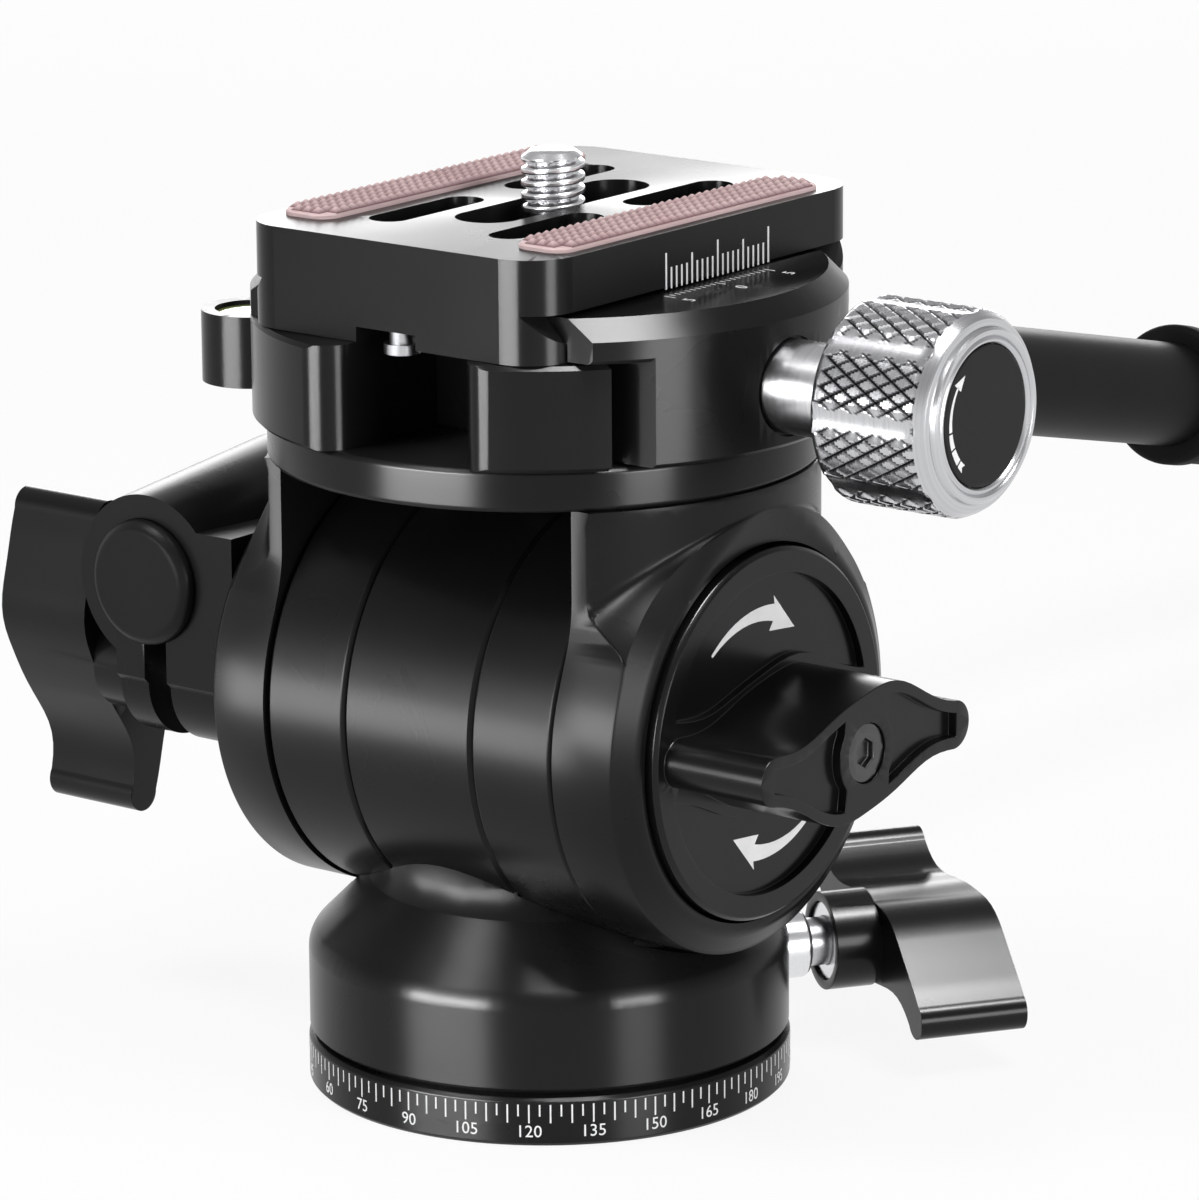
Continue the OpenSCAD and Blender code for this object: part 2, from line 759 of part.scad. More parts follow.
module cheek_left() {
    color(black) difference() {
        union() {
            turned_x() polygon([[0, left_face], [cheek_r - cheek_bevel, left_face],
                [cheek_r, left_face + cheek_bevel], [cheek_r, -cheek_x], [0, -cheek_x]]);
            mirror([1, 0, 0]) cheek_wall();
        }
        rod_x(left_face + shaft_floor, 0, shaft_r + press_gap);
        mirror([1, 0, 0]) yoke_screw_copies() translate([0, 0, disc_z - yoke_screw_deep])
            cylinder(h = far, r = screw_r + press_gap);
        for (p = bracket_screw_at) {
            rod_x(-far, 0, bracket_screw_r + press_gap, p[0], tilt_z + p[1]);
            rod_x(-cheek_x - screw_head_h, 0, screw_head_r + press_gap, p[0], tilt_z + p[1]);
        }
    }
}

module cheek_right() {
    color(black) difference() {
        union() {
            turned_x() polygon([[0, cheek_x], [cheek_r, cheek_x], [cheek_r, cheek_x + cheek_rim],
                [mouth_r, mouth_x], [0, mouth_x]]);
            cheek_wall();
        }
        rod_x(0, far, shaft_r + press_gap);
        rod_x(floor_x, far, recess_r);
        translate([mouth_x - edge, 0, tilt_z]) rotate([0, 90, 0])
            cylinder(h = sink_h, r1 = recess_r, r2 = recess_r + sink_w);
        yoke_screw_copies() translate([0, 0, disc_z - yoke_screw_deep])
            cylinder(h = far, r = screw_r + press_gap);
    }
}

module top_disc() {
    color(black) difference() {
        rotate_extrude() polygon([[0, disc_z], [disc_r - edge, disc_z], [disc_r, disc_z + edge],
            [disc_r, disc_top - edge], [disc_r - edge, disc_top], [0, disc_top]]);
        for (side = [0, 1]) mirror([side, 0, 0]) yoke_screw_copies()
            translate([0, 0, disc_top - screw_head_h]) {
            translate([0, 0, -far]) cylinder(h = far + eps, r = screw_r + press_gap);
            cylinder(h = far, r = screw_head_r + press_gap);
        }
        for (p = clamp_screw_at) translate([p[0], p[1], disc_z + screw_head_h])
            screw_hole(screw_r, disc_h, screw_head_r, far);
    }
}

module cheek_screws() {
    color(steel) for (side = [0, 1]) mirror([side, 0, 0]) yoke_screw_copies()
        translate([0, 0, disc_top - screw_head_h]) mirror([0, 0, 1])
            screw_up(screw_r, disc_h - screw_head_h + yoke_screw_deep - free_gap, screw_head_r, screw_head_h);
}

module tilt_lock_washer() {
    color(ptfe) ring_x(floor_x, floor_x + lock_washer_h, lock_disc_r - 1, insert_r + free_gap);
}

// Side outline of the bracket's lugs and pad in Y and height, round the clamping screw at the bottom
module bracket_side() {
    polygon([[bracket_y, pad_top], [bracket_y, lug_z + lug_in], [bracket_y + lug_in, lug_z],
        [lug_y, lug_z - lug_r], [bracket_end - lug_rear, lug_z - lug_r + lug_rear_rise], [bracket_end, lug_z],
        [bracket_end, pad_top]]);
    translate([lug_y, lug_z]) circle(r = lug_r);
}

// Front outline of the bracket in X and height: the ring's flanks run down to the lugs
module bracket_front() {
    polygon([[handle_x - bracket_r, handle_z], [lug_face, lug_z + lug_r - over], [lug_face, lug_z - lug_r],
        [left_face, lug_z - lug_r], [left_face, pad_top], [handle_x, pad_top]]);
}

module handle_bracket() {
    color(black) difference() {
        union() {
            intersection() {
                translate([handle_x, bracket_y, handle_z]) rotate([-90, 0, 0])
                    cylinder(h = bracket_len, r1 = bracket_r, r2 = bracket_r + bracket_flare);
                translate([handle_x - bracket_r - free_gap, -far, 0])
                    cube([left_face - handle_x + bracket_r + free_gap, 2 * far, far]);
            }
            intersection() {
                translate([-far, 0, 0]) rotate([90, 0, 90]) linear_extrude(far) bracket_side();
                translate([0, far, 0]) rotate([90, 0, 0]) linear_extrude(2 * far) bracket_front();
            }
        }
        translate([handle_x, 0, handle_z]) rod_y(-far, far, bore_r);
        translate([slit_mid - slit_w / 2, -far, 0]) cube([slit_w, 2 * far, handle_z]);
        rod_x(-far, clamping_end, clamping_r + run_gap, lug_y, lug_z);
        rod_x(-far, lug_face, wing_hub_r + free_gap, lug_y, lug_z);
        translate([0, 0, tilt_z]) cylinder(h = far, r = disc_r + press_gap);
        for (p = bracket_screw_at)
            rod_x(bracket_screw_end, 0, bracket_screw_r + press_gap, p[0], tilt_z + p[1]);
    }
}

module bracket_screws() {
    color(steel) for (p = bracket_screw_at) {
        rod_x(bracket_screw_end + free_gap, -cheek_x - screw_head_h + eps, bracket_screw_r, p[0],
            tilt_z + p[1]);
        rod_x(-cheek_x - screw_head_h, -cheek_x - edge, screw_head_r, p[0], tilt_z + p[1]);
    }
}

// Turned body of the clamp and its lips about a vertical axis, with the lips' outer bevel
module clamp_turned(low, high, bevel) {
    rotate_extrude() polygon([[0, low], [clamp_r - edge, low], [clamp_r, low + edge], [clamp_r, high - bevel],
        [clamp_r - bevel, high], [0, high]]);
}

// A dovetail lip on the +X side, from its underside up. Its rim's axis can stand out from the pan axis
module dovetail_lip(out, low) {
    intersection() {
        translate([out, 0, 0]) clamp_turned(low, lip_top, lip_bevel);
        translate([0, lip_half, 0]) rotate([90, 0, 0]) linear_extrude(2 * lip_half)
            polygon([[lip_foot, low], [lip_foot, groove_low], [lip_foot - lip_top + groove_low, lip_top],
                [far, lip_top], [far, low]]);
    }
}

// Plan of the cut that rounds the end of a post that lies left of x = end_x
module post_cut(end_x, r) {
    middle = [end_x - r, -sqrt(pow(clamp_r - r, 2) - pow(end_x - r, 2))];
    difference() {
        polygon([middle, [end_x + eps, middle[1]], [end_x + eps, -clamp_r - over],
            middle * (clamp_r + over) / norm(middle)]);
        translate(middle) circle(r = r);
    }
}

// Plan of the channel that lets the plate's front stop screw pass between two round posts
module channel_plan() {
    translate([channel_left, -clamp_r - over]) square([channel_right - channel_left, channel_depth + over]);
    post_cut(channel_left, post_round);
    mirror([1, 0]) post_cut(-channel_right, block_round);
}

module clamp_body() {
    color(black) difference() {
        union() {
            clamp_turned(clamp_z, clamp_top, edge);
            mirror([1, 0, 0]) dovetail_lip(0, clamp_top - edge);
            rotate([0, 0, level_az]) {
                translate([level_out, 0, level_z]) cylinder(h = level_h, r = level_r);
                translate([clamp_r - level_root, -level_r / 2, clamp_z + edge])
                    cube([level_out - clamp_r + level_root, level_r, level_h - level_wall]);
            }
        }
        translate([seat_x, -jaw_half - jaw_side_gap, 0]) cube([far, 2 * (jaw_half + jaw_side_gap), far]);
        for (side = [0, 1]) mirror([0, side, 0]) linear_extrude(far) channel_plan();
        rotate([0, 0, level_az]) translate([level_out, 0, level_z + level_h - vial_h])
            cylinder(h = far, r = level_r - level_wall);
        rod_x(0, seat_x + eps, clamp_stud_r + run_gap, 0, stud_z);
        for (s = [-1, 1]) rod_x(seat_x - pin_in, seat_x + eps, pin_r + press_gap, s * pin_y, pin_z);
        for (p = clamp_screw_at) translate([p[0], p[1], 0])
            cylinder(h = clamp_z + clamp_h / 2, r = screw_r + press_gap);
    }
}

module clamp_screws() {
    color(steel) for (p = clamp_screw_at) translate([p[0], p[1], disc_z + screw_head_h])
        screw_up(screw_r, disc_h - screw_head_h + clamp_h / 2 - free_gap, screw_head_r, screw_head_h - edge);
}

module level_vial() {
    color(glass_green) rotate([0, 0, level_az]) translate([level_out, 0, level_z + level_h - vial_h])
        cylinder(h = vial_h - edge / 2, r = level_r - level_wall - press_gap);
}

module jaw_pins() {
    color(steel) for (s = [-1, 1]) rod_x(seat_x - pin_in, jaw_back + pin_out, pin_r, s * pin_y, pin_z);
}

// Tilt lock

// Plan of the lock knob's wing, turned to lie along Y
module lock_wing_plan() {
    rotate(90) wing_outline(lock_wing_half, lock_wing_mid, lock_wing_tip, lock_wing_half * 0.55,
        lock_wing_bow, lock_wing_half * 0.72);
}

// The two hollows of the lock knob's disc: crescents between the wing's blend and the rim
module lock_hollow_plan() {
    difference() {
        circle(r = lock_disc_r - hollow_rim);
        rotate(90) wing_outline(lock_disc_r + hollow_tip, hollow_mid, hollow_tip, lock_disc_r / 2, hollow_bow,
            lock_disc_r * 0.7);
    }
}

module tilt_lock_knob() {
    color(gloss_black) difference() {
        union() {
            turned_x() polygon([[0, lock_back], [lock_disc_r, lock_back], [lock_disc_r, lock_face - edge],
                [lock_disc_r - edge, lock_face], [0, lock_face]]);
            translate([lock_face - 2 * lock_hollow, 0, tilt_z]) rotate([0, 90, 0])
                linear_extrude(lock_wing_h + 2 * lock_hollow) lock_wing_plan();
        }
        difference() {
            translate([lock_face - lock_hollow, 0, tilt_z]) rotate([0, 90, 0])
                linear_extrude(far) lock_hollow_plan();
            translate([lock_face - 2 * lock_hollow, 0, tilt_z]) rotate([0, 90, 0])
                linear_extrude(far) lock_wing_plan();
        }
        rod_x(0, insert_end, insert_r + press_gap);
        rod_x(0, far, screw_r + press_gap);
        rod_x(lock_top - lock_screw_head_h, far, lock_screw_head_r + press_gap);
    }
}

module tilt_lock_insert() {
    color(brass) difference() {
        rod_x(lock_back, insert_end, insert_r);
        rod_x(0, stud_end + free_gap, lock_stud_r + run_gap);
        rod_x(0, far, screw_r + press_gap);
    }
}

module tilt_lock_screw() {
    color(steel) difference() {
        union() {
            rod_x(stud_end + free_gap, lock_top - lock_screw_head_h + eps, screw_r);
            rod_x(lock_top - lock_screw_head_h, lock_top - edge / 2, lock_screw_head_r);
        }
        translate([lock_top - lock_screw_head_h / 2, 0, tilt_z]) rotate([0, 90, 0])
            cylinder(h = far, r = lock_screw_head_r / 2, $fn = 6);
    }
}

// Wing screws

module pan_lock_wing() {
    color(gloss_black) at_pan_lock() difference() {
        union() {
            translate([0, 0, pan_hub_start]) cylinder(h = wing_hub_h + eps, r = wing_hub_r);
            translate([0, 0, pan_wing_start]) linear_extrude(wing_depth)
                rotate(90 + pan_wing_turn) wing_screw_outline(-1);
        }
        translate([0, 0, pan_hub_start - eps]) cylinder(h = pan_nut_h + free_gap, r = pan_nut_r + press_gap);
        cylinder(h = pan_wing_start + wing_depth / 2, r = pan_stud_r + press_gap);
    }
}

module pan_lock_stud() {
    color(steel) at_pan_lock() translate([0, 0, pan_collar_in])
        cylinder(h = pan_wing_start + wing_depth / 2 - pan_collar_in - free_gap, r = pan_stud_r);
}

module pan_lock_nut() {
    color(silver) at_pan_lock() translate([0, 0, pan_hub_start + free_gap]) difference() {
        washer(pan_nut_r, pan_stud_r + press_gap, pan_nut_h - free_gap);
        translate([-pan_nut_slot / 2, 0, -eps]) cube([pan_nut_slot, far, far]);
    }
}

module handle_lock_wing() {
    color(gloss_black) difference() {
        union() {
            rod_x(wing_start - eps, wing_hub_face, wing_hub_r, lug_y, lug_z);
            translate([wing_end, lug_y, lug_z]) rotate([0, 90, 0])
                linear_extrude(wing_depth) wing_screw_outline(1);
        }
        rod_x(wing_start - wing_depth / 2, 0, clamping_r + press_gap, lug_y, lug_z);
    }
}

module handle_lock_stud() {
    color(steel)
        rod_x(wing_start - wing_depth / 2 + free_gap, clamping_end - free_gap, clamping_r, lug_y, lug_z);
}

// Clamp jaw and its knob

// The jaw's block: it clears the plate's foot and rises to the lip outside it
module jaw_block() {
    intersection() {
        translate([jaw_out, 0, 0]) clamp_turned(clamp_z + free_gap, jaw_top + edge, eps);
        translate([0, jaw_half, 0]) rotate([90, 0, 0]) linear_extrude(2 * jaw_half)
            polygon([[jaw_back, 0], [jaw_back, clamp_top - free_gap], [lip_foot, clamp_top - free_gap],
                [lip_foot, far], [far, far], [far, 0]]);
    }
}

module clamp_jaw() {
    color(black) difference() {
        union() {
            jaw_block();
            dovetail_lip(jaw_out, jaw_top);
        }
        rod_x(0, far, clamp_stud_r + run_gap * 2, 0, stud_z);
        rod_x(sleeve_seat, far, sleeve_r + free_gap, 0, stud_z);
        for (s = [-1, 1]) rod_x(0, jaw_back + pin_out + free_gap, pin_r + run_gap, s * pin_y, pin_z);
    }
}

module clamp_knob() {
    color(silver) difference() {
        translate([0, 0, stud_z - tilt_z]) turned_x() polygon([[0, sleeve_end],
            [knob_r - knob_bevel, sleeve_end], [knob_r, sleeve_end + knob_bevel],
            [knob_r, knob_end - knob_rim], [knob_r - knob_rim, knob_end], [0, knob_end]]);
        rod_x(0, knob_stud_end, clamp_stud_r + press_gap, 0, stud_z);
        rod_x(knob_end - end_disc_sunk, far, end_disc_r + press_gap, 0, stud_z);
        for (i = [0 : 5]) translate([0, 0, stud_z]) rotate([30 + i * 60, 0, 0]) translate([0, 0, -stud_z])
            rod_x(sleeve_end - over, knob_end + over, flute_r, knob_r + flute_r - flute_deep, stud_z);
    }
}

module clamp_knob_sleeve() {
    color(silver) ring_x(sleeve_seat, sleeve_end, sleeve_r, clamp_stud_r + press_gap, 0, stud_z);
}

module clamp_knob_disc() {
    color(black)
        rod_x(knob_end - end_disc_sunk, knob_end - end_disc_sunk + end_disc_t, end_disc_r, 0, stud_z);
}

module clamp_stud() {
    color(steel) rod_x(free_gap, knob_stud_end - free_gap, clamp_stud_r, 0, stud_z);
}

// Camera plate

// A slot along Y, cut from low to high
module slot_y(x, y, width, length, low, high) {
    for (s = [-1, 1]) translate([x, y + s * (length - width) / 2, low])
        cylinder(h = high - low, r = width / 2);
    translate([x - width / 2, y - (length - width) / 2, low]) cube([width, length - width, high - low]);
}

// Plan of the plate, with round corners
module plate_plan() {
    square([plate_w - 2 * corner_r, plate_len], center = true);
    square([plate_w, plate_len - 2 * corner_r], center = true);
    for (sx = [-1, 1], sy = [-1, 1])
        translate([sx * (plate_w / 2 - corner_r), sy * (plate_len / 2 - corner_r)]) circle(r = corner_r);
}

module qr_plate() {
    half = plate_w / 2;
    color(black) difference() {
        intersection() {
            translate([0, plate_y, plate_z]) linear_extrude(plate_h) plate_plan();
            translate([0, far, 0]) rotate([90, 0, 0]) linear_extrude(2 * far)
                polygon([[-half, plate_z], [half, plate_z], [half, groove_low], [half - groove_d, groove_top],
                    [half, groove_top], [half, plate_top], [-half, plate_top], [-half, groove_top],
                    [-half + groove_d, groove_top], [-half, groove_low]]);
        }
        slot_y(0, plate_y, screw_slot_w, screw_slot_len, plate_z - over, plate_top + over);
        slot_y(0, plate_y, 2 * (head_r + free_gap), screw_slot_len - screw_slot_w + 2 * (head_r + free_gap),
            plate_z - over, plate_z + head_room);
        for (sx = [-1, 1], sy = [-1, 1])
            slot_y(sx * side_slot_x, plate_y + sy * side_slot_y, side_slot_w, side_slot_len,
            plate_z - over, plate_top + over);
        for (sx = [-1, 1]) slot_y(sx * strip_x, plate_y, strip_w + 2 * press_gap, strip_len + 2 * press_gap,
            plate_top - strip_sunk, plate_top + over);
        for (y = [stop_front, stop_back]) translate([0, y, 0])
            cylinder(h = plate_z + stop_deep, r = small_screw_r + press_gap);
        translate([-notch_w / 2, plate_y - plate_len / 2 - over, plate_z - over])
            cube([notch_w, notch_len + over, notch_h + over]);
    }
}

module rubber_strip(side) {
    color(rubber_pink)
        slot_y(side * strip_x, plate_y, strip_w, strip_len, plate_top - strip_sunk, plate_top + strip_proud);
}

module rubber_strip_left() {
    rubber_strip(-1);
}

module rubber_strip_right() {
    rubber_strip(1);
}

module stop_screws() {
    color(steel) for (y = [stop_front, stop_back]) translate([0, y, 0]) {
        translate([0, 0, plate_z - stop_out]) {
            cylinder(h = stop_deep + stop_out - free_gap, r = small_screw_r);
            cylinder(h = stop_out - eps, r = stop_r);
        }
    }
}

module camera_screw() {
    head_z = plate_z + head_room - free_gap - head_h;
    color(silver) translate([0, plate_y, 0]) difference() {
        union() {
            translate([0, 0, head_z]) cylinder(h = head_h, r = head_r);
            rotate_extrude() polygon([[0, head_z], [screw_neck_r, head_z],
                [screw_neck_r, plate_top + free_gap], [screw_d / 2, plate_top + free_gap],
                [screw_d / 2, plate_top + screw_out - 2 * edge],
                [screw_d / 2 - 2 * edge, plate_top + screw_out], [0, plate_top + screw_out]]);
        }
        translate([-far, -head_slot_w / 2, head_z - over])
            cube([2 * far, head_slot_w, over + head_slot_deep]);
    }
}

// Handle

// A hollow run of the handle's tube along local +Y
module tube_y(y0, y1) {
    difference() {
        rod_y(y0, y1, tube_r);
        rod_y(y0 - over, y1 + over, tube_r - tube_wall);
    }
}

module handle_tube() {
    color(black) translate([handle_x, 0, handle_z]) tube_y(bracket_y, bend_y);
}

module handle_bend() {
    color(black) translate([handle_x, bend_y, handle_z]) rotate([0, bend_roll, 0]) translate([bend_r, 0, 0])
        rotate([0, 0, 180 - bend_angle]) rotate_extrude(angle = bend_angle) translate([bend_r, 0])
            difference() {
                circle(r = tube_r);
                circle(r = tube_r - tube_wall);
            }
}

module handle_rear() {
    color(black) at_handle_rear() tube_y(0, tube_rear + grip_len - grip_wall_end);
}

module handle_cap() {
    plug_r = tube_r - tube_wall - press_gap;
    color(gloss_black) translate([handle_x, bracket_y - cap_proud, handle_z]) rotate([-90, 0, 0])
        rotate_extrude() polygon([[0, 0], [tube_r - 2 * edge, 0], [tube_r, 2 * edge],
            [tube_r, cap_proud - eps], [plug_r, cap_proud - eps], [plug_r, cap_proud + cap_plug],
            [0, cap_proud + cap_plug]]);
}

module handle_grip() {
    color(rubber_black) at_handle_rear() translate([0, tube_rear, 0]) rotate([-90, 0, 0]) rotate_extrude()
        polygon([[tube_r + press_gap, 0], [grip_r - grip_bevel, 0], [grip_r, grip_bevel], [grip_r, grip_len],
            [tube_r + press_gap, grip_len]]);
}

module grip_end_cap() {
    plug_r = tube_r - tube_wall - press_gap;
    color(gloss_black) at_handle_rear() translate([0, tube_rear + grip_len, 0]) rotate([-90, 0, 0])
        rotate_extrude() polygon([[0, -grip_wall_end - cap_plug], [plug_r, -grip_wall_end - cap_plug],
            [plug_r, -grip_wall_end], [tube_r, -grip_wall_end], [tube_r, 0], [grip_r, 0],
            [grip_r - grip_cap_bevel, grip_cap_h - grip_bevel], [grip_r - grip_cap_in, grip_cap_h],
            [0, grip_cap_h]]);
}

base_disc();
pan_hub();
base_screws();
pan_thrust_washer();
pan_slip_washer();
pan_top_washer();
pan_body();
pan_retaining_ring();
ring_screws();
drum_cap_left();
drum_cap_right();
cap_screws();
cap_seals();
shaft_bushes();
shaft_seals();
stator_plates();
pan_lock_collar();
pan_lock_pad();
tilt_shaft();
rotor_plates();
tilt_washers();
cheek_left();
cheek_right();
top_disc();
cheek_screws();
tilt_lock_washer();
handle_bracket();
bracket_screws();
clamp_body();
clamp_screws();
level_vial();
jaw_pins();
tilt_lock_knob();
tilt_lock_insert();
tilt_lock_screw();
pan_lock_wing();
pan_lock_stud();
pan_lock_nut();
handle_lock_wing();
handle_lock_stud();
clamp_jaw();
clamp_knob();
clamp_knob_sleeve();
clamp_knob_disc();
clamp_stud();
qr_plate();
rubber_strip_left();
rubber_strip_right();
stop_screws();
camera_screw();
handle_tube();
handle_bend();
handle_rear();
handle_cap();
handle_grip();
grip_end_cap();
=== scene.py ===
import json
import math

import bmesh
import bpy
from mathutils import Matrix, Vector


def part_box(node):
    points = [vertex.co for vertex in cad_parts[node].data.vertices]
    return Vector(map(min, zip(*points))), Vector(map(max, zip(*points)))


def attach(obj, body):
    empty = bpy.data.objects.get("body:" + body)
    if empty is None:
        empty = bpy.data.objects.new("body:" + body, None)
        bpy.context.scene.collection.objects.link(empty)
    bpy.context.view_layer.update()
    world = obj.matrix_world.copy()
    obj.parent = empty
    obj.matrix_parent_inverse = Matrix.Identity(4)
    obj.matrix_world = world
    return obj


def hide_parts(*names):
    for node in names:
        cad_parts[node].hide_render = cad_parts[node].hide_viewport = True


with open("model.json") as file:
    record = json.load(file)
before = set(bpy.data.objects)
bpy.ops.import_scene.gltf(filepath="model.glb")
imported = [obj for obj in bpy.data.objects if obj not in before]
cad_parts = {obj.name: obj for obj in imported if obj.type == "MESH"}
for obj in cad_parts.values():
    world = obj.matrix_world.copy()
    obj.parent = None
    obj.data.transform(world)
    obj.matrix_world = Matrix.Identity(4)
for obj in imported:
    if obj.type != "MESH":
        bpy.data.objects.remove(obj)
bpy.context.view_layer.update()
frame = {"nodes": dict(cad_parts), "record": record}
nodes = frame["nodes"]
scene = bpy.context.scene
mm = 0.001

behaviour = frame["record"]["behaviour"]
bodyOf = {node: body for body, members in behaviour["bodies"].items() for node in members}
jointAt = {j["name"]: Vector(j["pos_m"]) / mm for j in behaviour["joints"] if "pos_m" in j}
tiltZ = jointAt["tilt"].z  # height of the tilt axis, mm
studZ = jointAt["knob_turn"].z  # height of the clamp knob's axis, mm


def boxMm(node):
    low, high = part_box(node)
    return Vector(low) / mm, Vector(high) / mm


# node helpers, for shaders and for geometry
def socket(tree, name, kind, way="INPUT", value=None):
    made = tree.interface.new_socket(name=name, in_out=way, socket_type="NodeSocket" + kind)
    if value is not None:
        made.default_value = value


def addNode(tree, kind, **values):
    node = tree.nodes.new(kind)
    for key, value in values.items():
        setattr(node, key, value)
    return node


def mathNode(tree, operation, a, b=None, clamp=False):
    node = addNode(tree, "ShaderNodeMath", operation=operation, use_clamp=clamp)
    for i, value in enumerate((a, b)):
        if isinstance(value, (int, float)):
            node.inputs[i].default_value = value
        elif value is not None:
            tree.links.new(value, node.inputs[i])
    return node.outputs[0]


# shader groups
def newGroup(name, sizes, results):
    tree = bpy.data.node_groups.new(name, "ShaderNodeTree")
    for key, value in sizes.items():
        socket(tree, key, "Float" if isinstance(value, float) else "Vector", value=value)
    for key in results:
        socket(tree, key, "Float", "OUTPUT")
    inn, out = addNode(tree, "NodeGroupInput"), addNode(tree, "NodeGroupOutput")
    place = addNode(tree, "ShaderNodeTexCoord")
    return tree, inn.outputs, out.inputs, place.outputs["Object"]


def noiseNode(tree, vector, scale, **values):
    noise = addNode(tree, "ShaderNodeTexNoise")
    for key, value in values.items():
        noise.inputs[key].default_value = value
    tree.links.new(vector, noise.inputs["Vector"])
    tree.links.new(scale, noise.inputs["Scale"])
    return noise.outputs["Fac"]


def makeGrainGroup():
    # bead-blasted and anodised grain: a fine pitted height and a slow cloudy mask
    sizes = {"Scale": 4000.0, "Cloud Scale": 60.0}
    tree, pins, ends, place = newGroup("blastedGrain", sizes, ("Height", "Cloud"))
    fine = noiseNode(tree, place, pins["Scale"], Detail=3.0, Roughness=0.65)
    slow = noiseNode(tree, place, pins["Cloud Scale"], Detail=4.0)
    tree.links.new(fine, ends["Height"])
    tree.links.new(slow, ends["Cloud"])
    return tree


def makeTurnedGroup():
    # fine lines of a lathe tool, in planes across one axis and in rings on the faces
    sizes = {"Centre": (0.0, 0.0, 0.0), "Turn": (0.0, 0.0, 0.0), "Scale": 3000.0}
    tree, pins, ends, place = newGroup("turnedLines", sizes, ("Lines",))
    shift = addNode(tree, "ShaderNodeVectorMath", operation="SUBTRACT")
    turn = addNode(tree, "ShaderNodeVectorRotate", rotation_type="EULER_XYZ")
    split = addNode(tree, "ShaderNodeSeparateXYZ")
    tree.links.new(place, shift.inputs[0])
    tree.links.new(pins["Centre"], shift.inputs[1])
    tree.links.new(shift.outputs[0], turn.inputs["Vector"])
    tree.links.new(pins["Turn"], turn.inputs["Rotation"])
    tree.links.new(turn.outputs[0], split.inputs[0])
    squares = [mathNode(tree, "MULTIPLY", split.outputs[i], split.outputs[i]) for i in (0, 1)]
    along = addNode(tree, "ShaderNodeCombineXYZ")
    tree.links.new(mathNode(tree, "SQRT", mathNode(tree, "ADD", *squares)), along.inputs[0])
    tree.links.new(split.outputs[2], along.inputs[1])
    lines = noiseNode(tree, along.outputs[0], pins["Scale"], Detail=4.0, Roughness=0.7)
    tree.links.new(lines, ends["Lines"])
    return tree


def makeSmudgeGroup():
    # faint handling marks: a warped noise that only changes the gloss
    sizes = {"Base": 0.4, "Spread": 0.1, "Scale": 90.0}
    tree, pins, ends, place = newGroup("handledSmudge", sizes, ("Roughness",))
    noise = noiseNode(tree, place, pins["Scale"], Detail=5.0, Distortion=0.6)
    swing = mathNode(tree, "MULTIPLY", mathNode(tree, "SUBTRACT", noise, 0.5), pins["Spread"])
    tree.links.new(mathNode(tree, "ADD", swing, pins["Base"], clamp=True), ends["Roughness"])
    return tree


grainGroup, turnedGroup, smudgeGroup = makeGrainGroup(), makeTurnedGroup(), makeSmudgeGroup()
print("shader groups: grain, turned lines, smudge")


# materials
def newMaterial(name):
    mat = bpy.data.materials.new(name)
    mat.use_nodes = True
    return mat, mat.node_tree, mat.node_tree.nodes["Principled BSDF"]


def placeGroup(tree, group, **values):
    node = addNode(tree, "ShaderNodeGroup", node_tree=group)
    for key, value in values.items():
        node.inputs[key.replace("_", " ")].default_value = value
    return node


def colourRamp(tree, fac, low, high, ends=(0.3, 0.7)):
    ramp = addNode(tree, "ShaderNodeValToRGB")
    for stop, place, colour in zip(ramp.color_ramp.elements, ends, (low, high)):
        stop.position = place
        stop.color = (*colour, 1)
    tree.links.new(fac, ramp.inputs["Fac"])
    return ramp.outputs["Color"]


def stainGrooves(tree, colour, grooveShade, fall):
    # painted shade: what the mesh marks as a groove is darkened; 6, 7 and 2 are the mix's colours in and out
    groove = addNode(tree, "ShaderNodeAttribute", attribute_name="groove")
    deep = mathNode(tree, "POWER", groove.outputs["Fac"], fall)
    shadeMix = addNode(tree, "ShaderNodeMix", data_type="RGBA")
    tree.links.new(deep, shadeMix.inputs[0])
    tree.links.new(colour, shadeMix.inputs[6])
    shadeMix.inputs[7].default_value = (*grooveShade, 1)
    return shadeMix.outputs[2]


def dressShader(tree, shader, mask, height, s):
    # what coated and bare finishes share: colour, painted shade in grooves, a smudged gloss and a bump
    colour = colourRamp(tree, mask, s["dark"], s["light"])
    if "grooveShade" in s:
        colour = stainGrooves(tree, colour, s["grooveShade"], s["fall"])
    tree.links.new(colour, shader.inputs["Base Color"])
    smudge = placeGroup(tree, smudgeGroup, Base=s["rough"], Spread=s["spread"], Scale=s["smudge"])
    tree.links.new(smudge.outputs["Roughness"], shader.inputs["Roughness"])
    bump = addNode(tree, "ShaderNodeBump")
    bump.inputs["Strength"].default_value = s["bump"]
    bump.inputs["Distance"].default_value = s["deep"]
    tree.links.new(height, bump.inputs["Height"])
    tree.links.new(bump.outputs["Normal"], shader.inputs["Normal"])


def makeCoated(name, s):
    # anodised, painted, moulded or foamed: a cloudy colour over a fine grain
    mat, tree, shader = newMaterial(name)
    grain = placeGroup(tree, grainGroup, Scale=s["grain"], Cloud_Scale=s["cloud"])
    dressShader(tree, shader, grain.outputs["Cloud"], grain.outputs["Height"], s)
    shader.inputs["Specular IOR Level"].default_value = s["specular"]
    if "lathe" in s:
        # turned skin: the gloss is drawn out across the tool's path
        shader.inputs["Anisotropic"].default_value = s["draw"]
        shader.inputs["Anisotropic Rotation"].default_value = s["drawTurn"]
        path = addNode(tree, "ShaderNodeTangent", direction_type="RADIAL", axis=s["lathe"])
        tree.links.new(path.outputs[0], shader.inputs["Tangent"])
    return mat


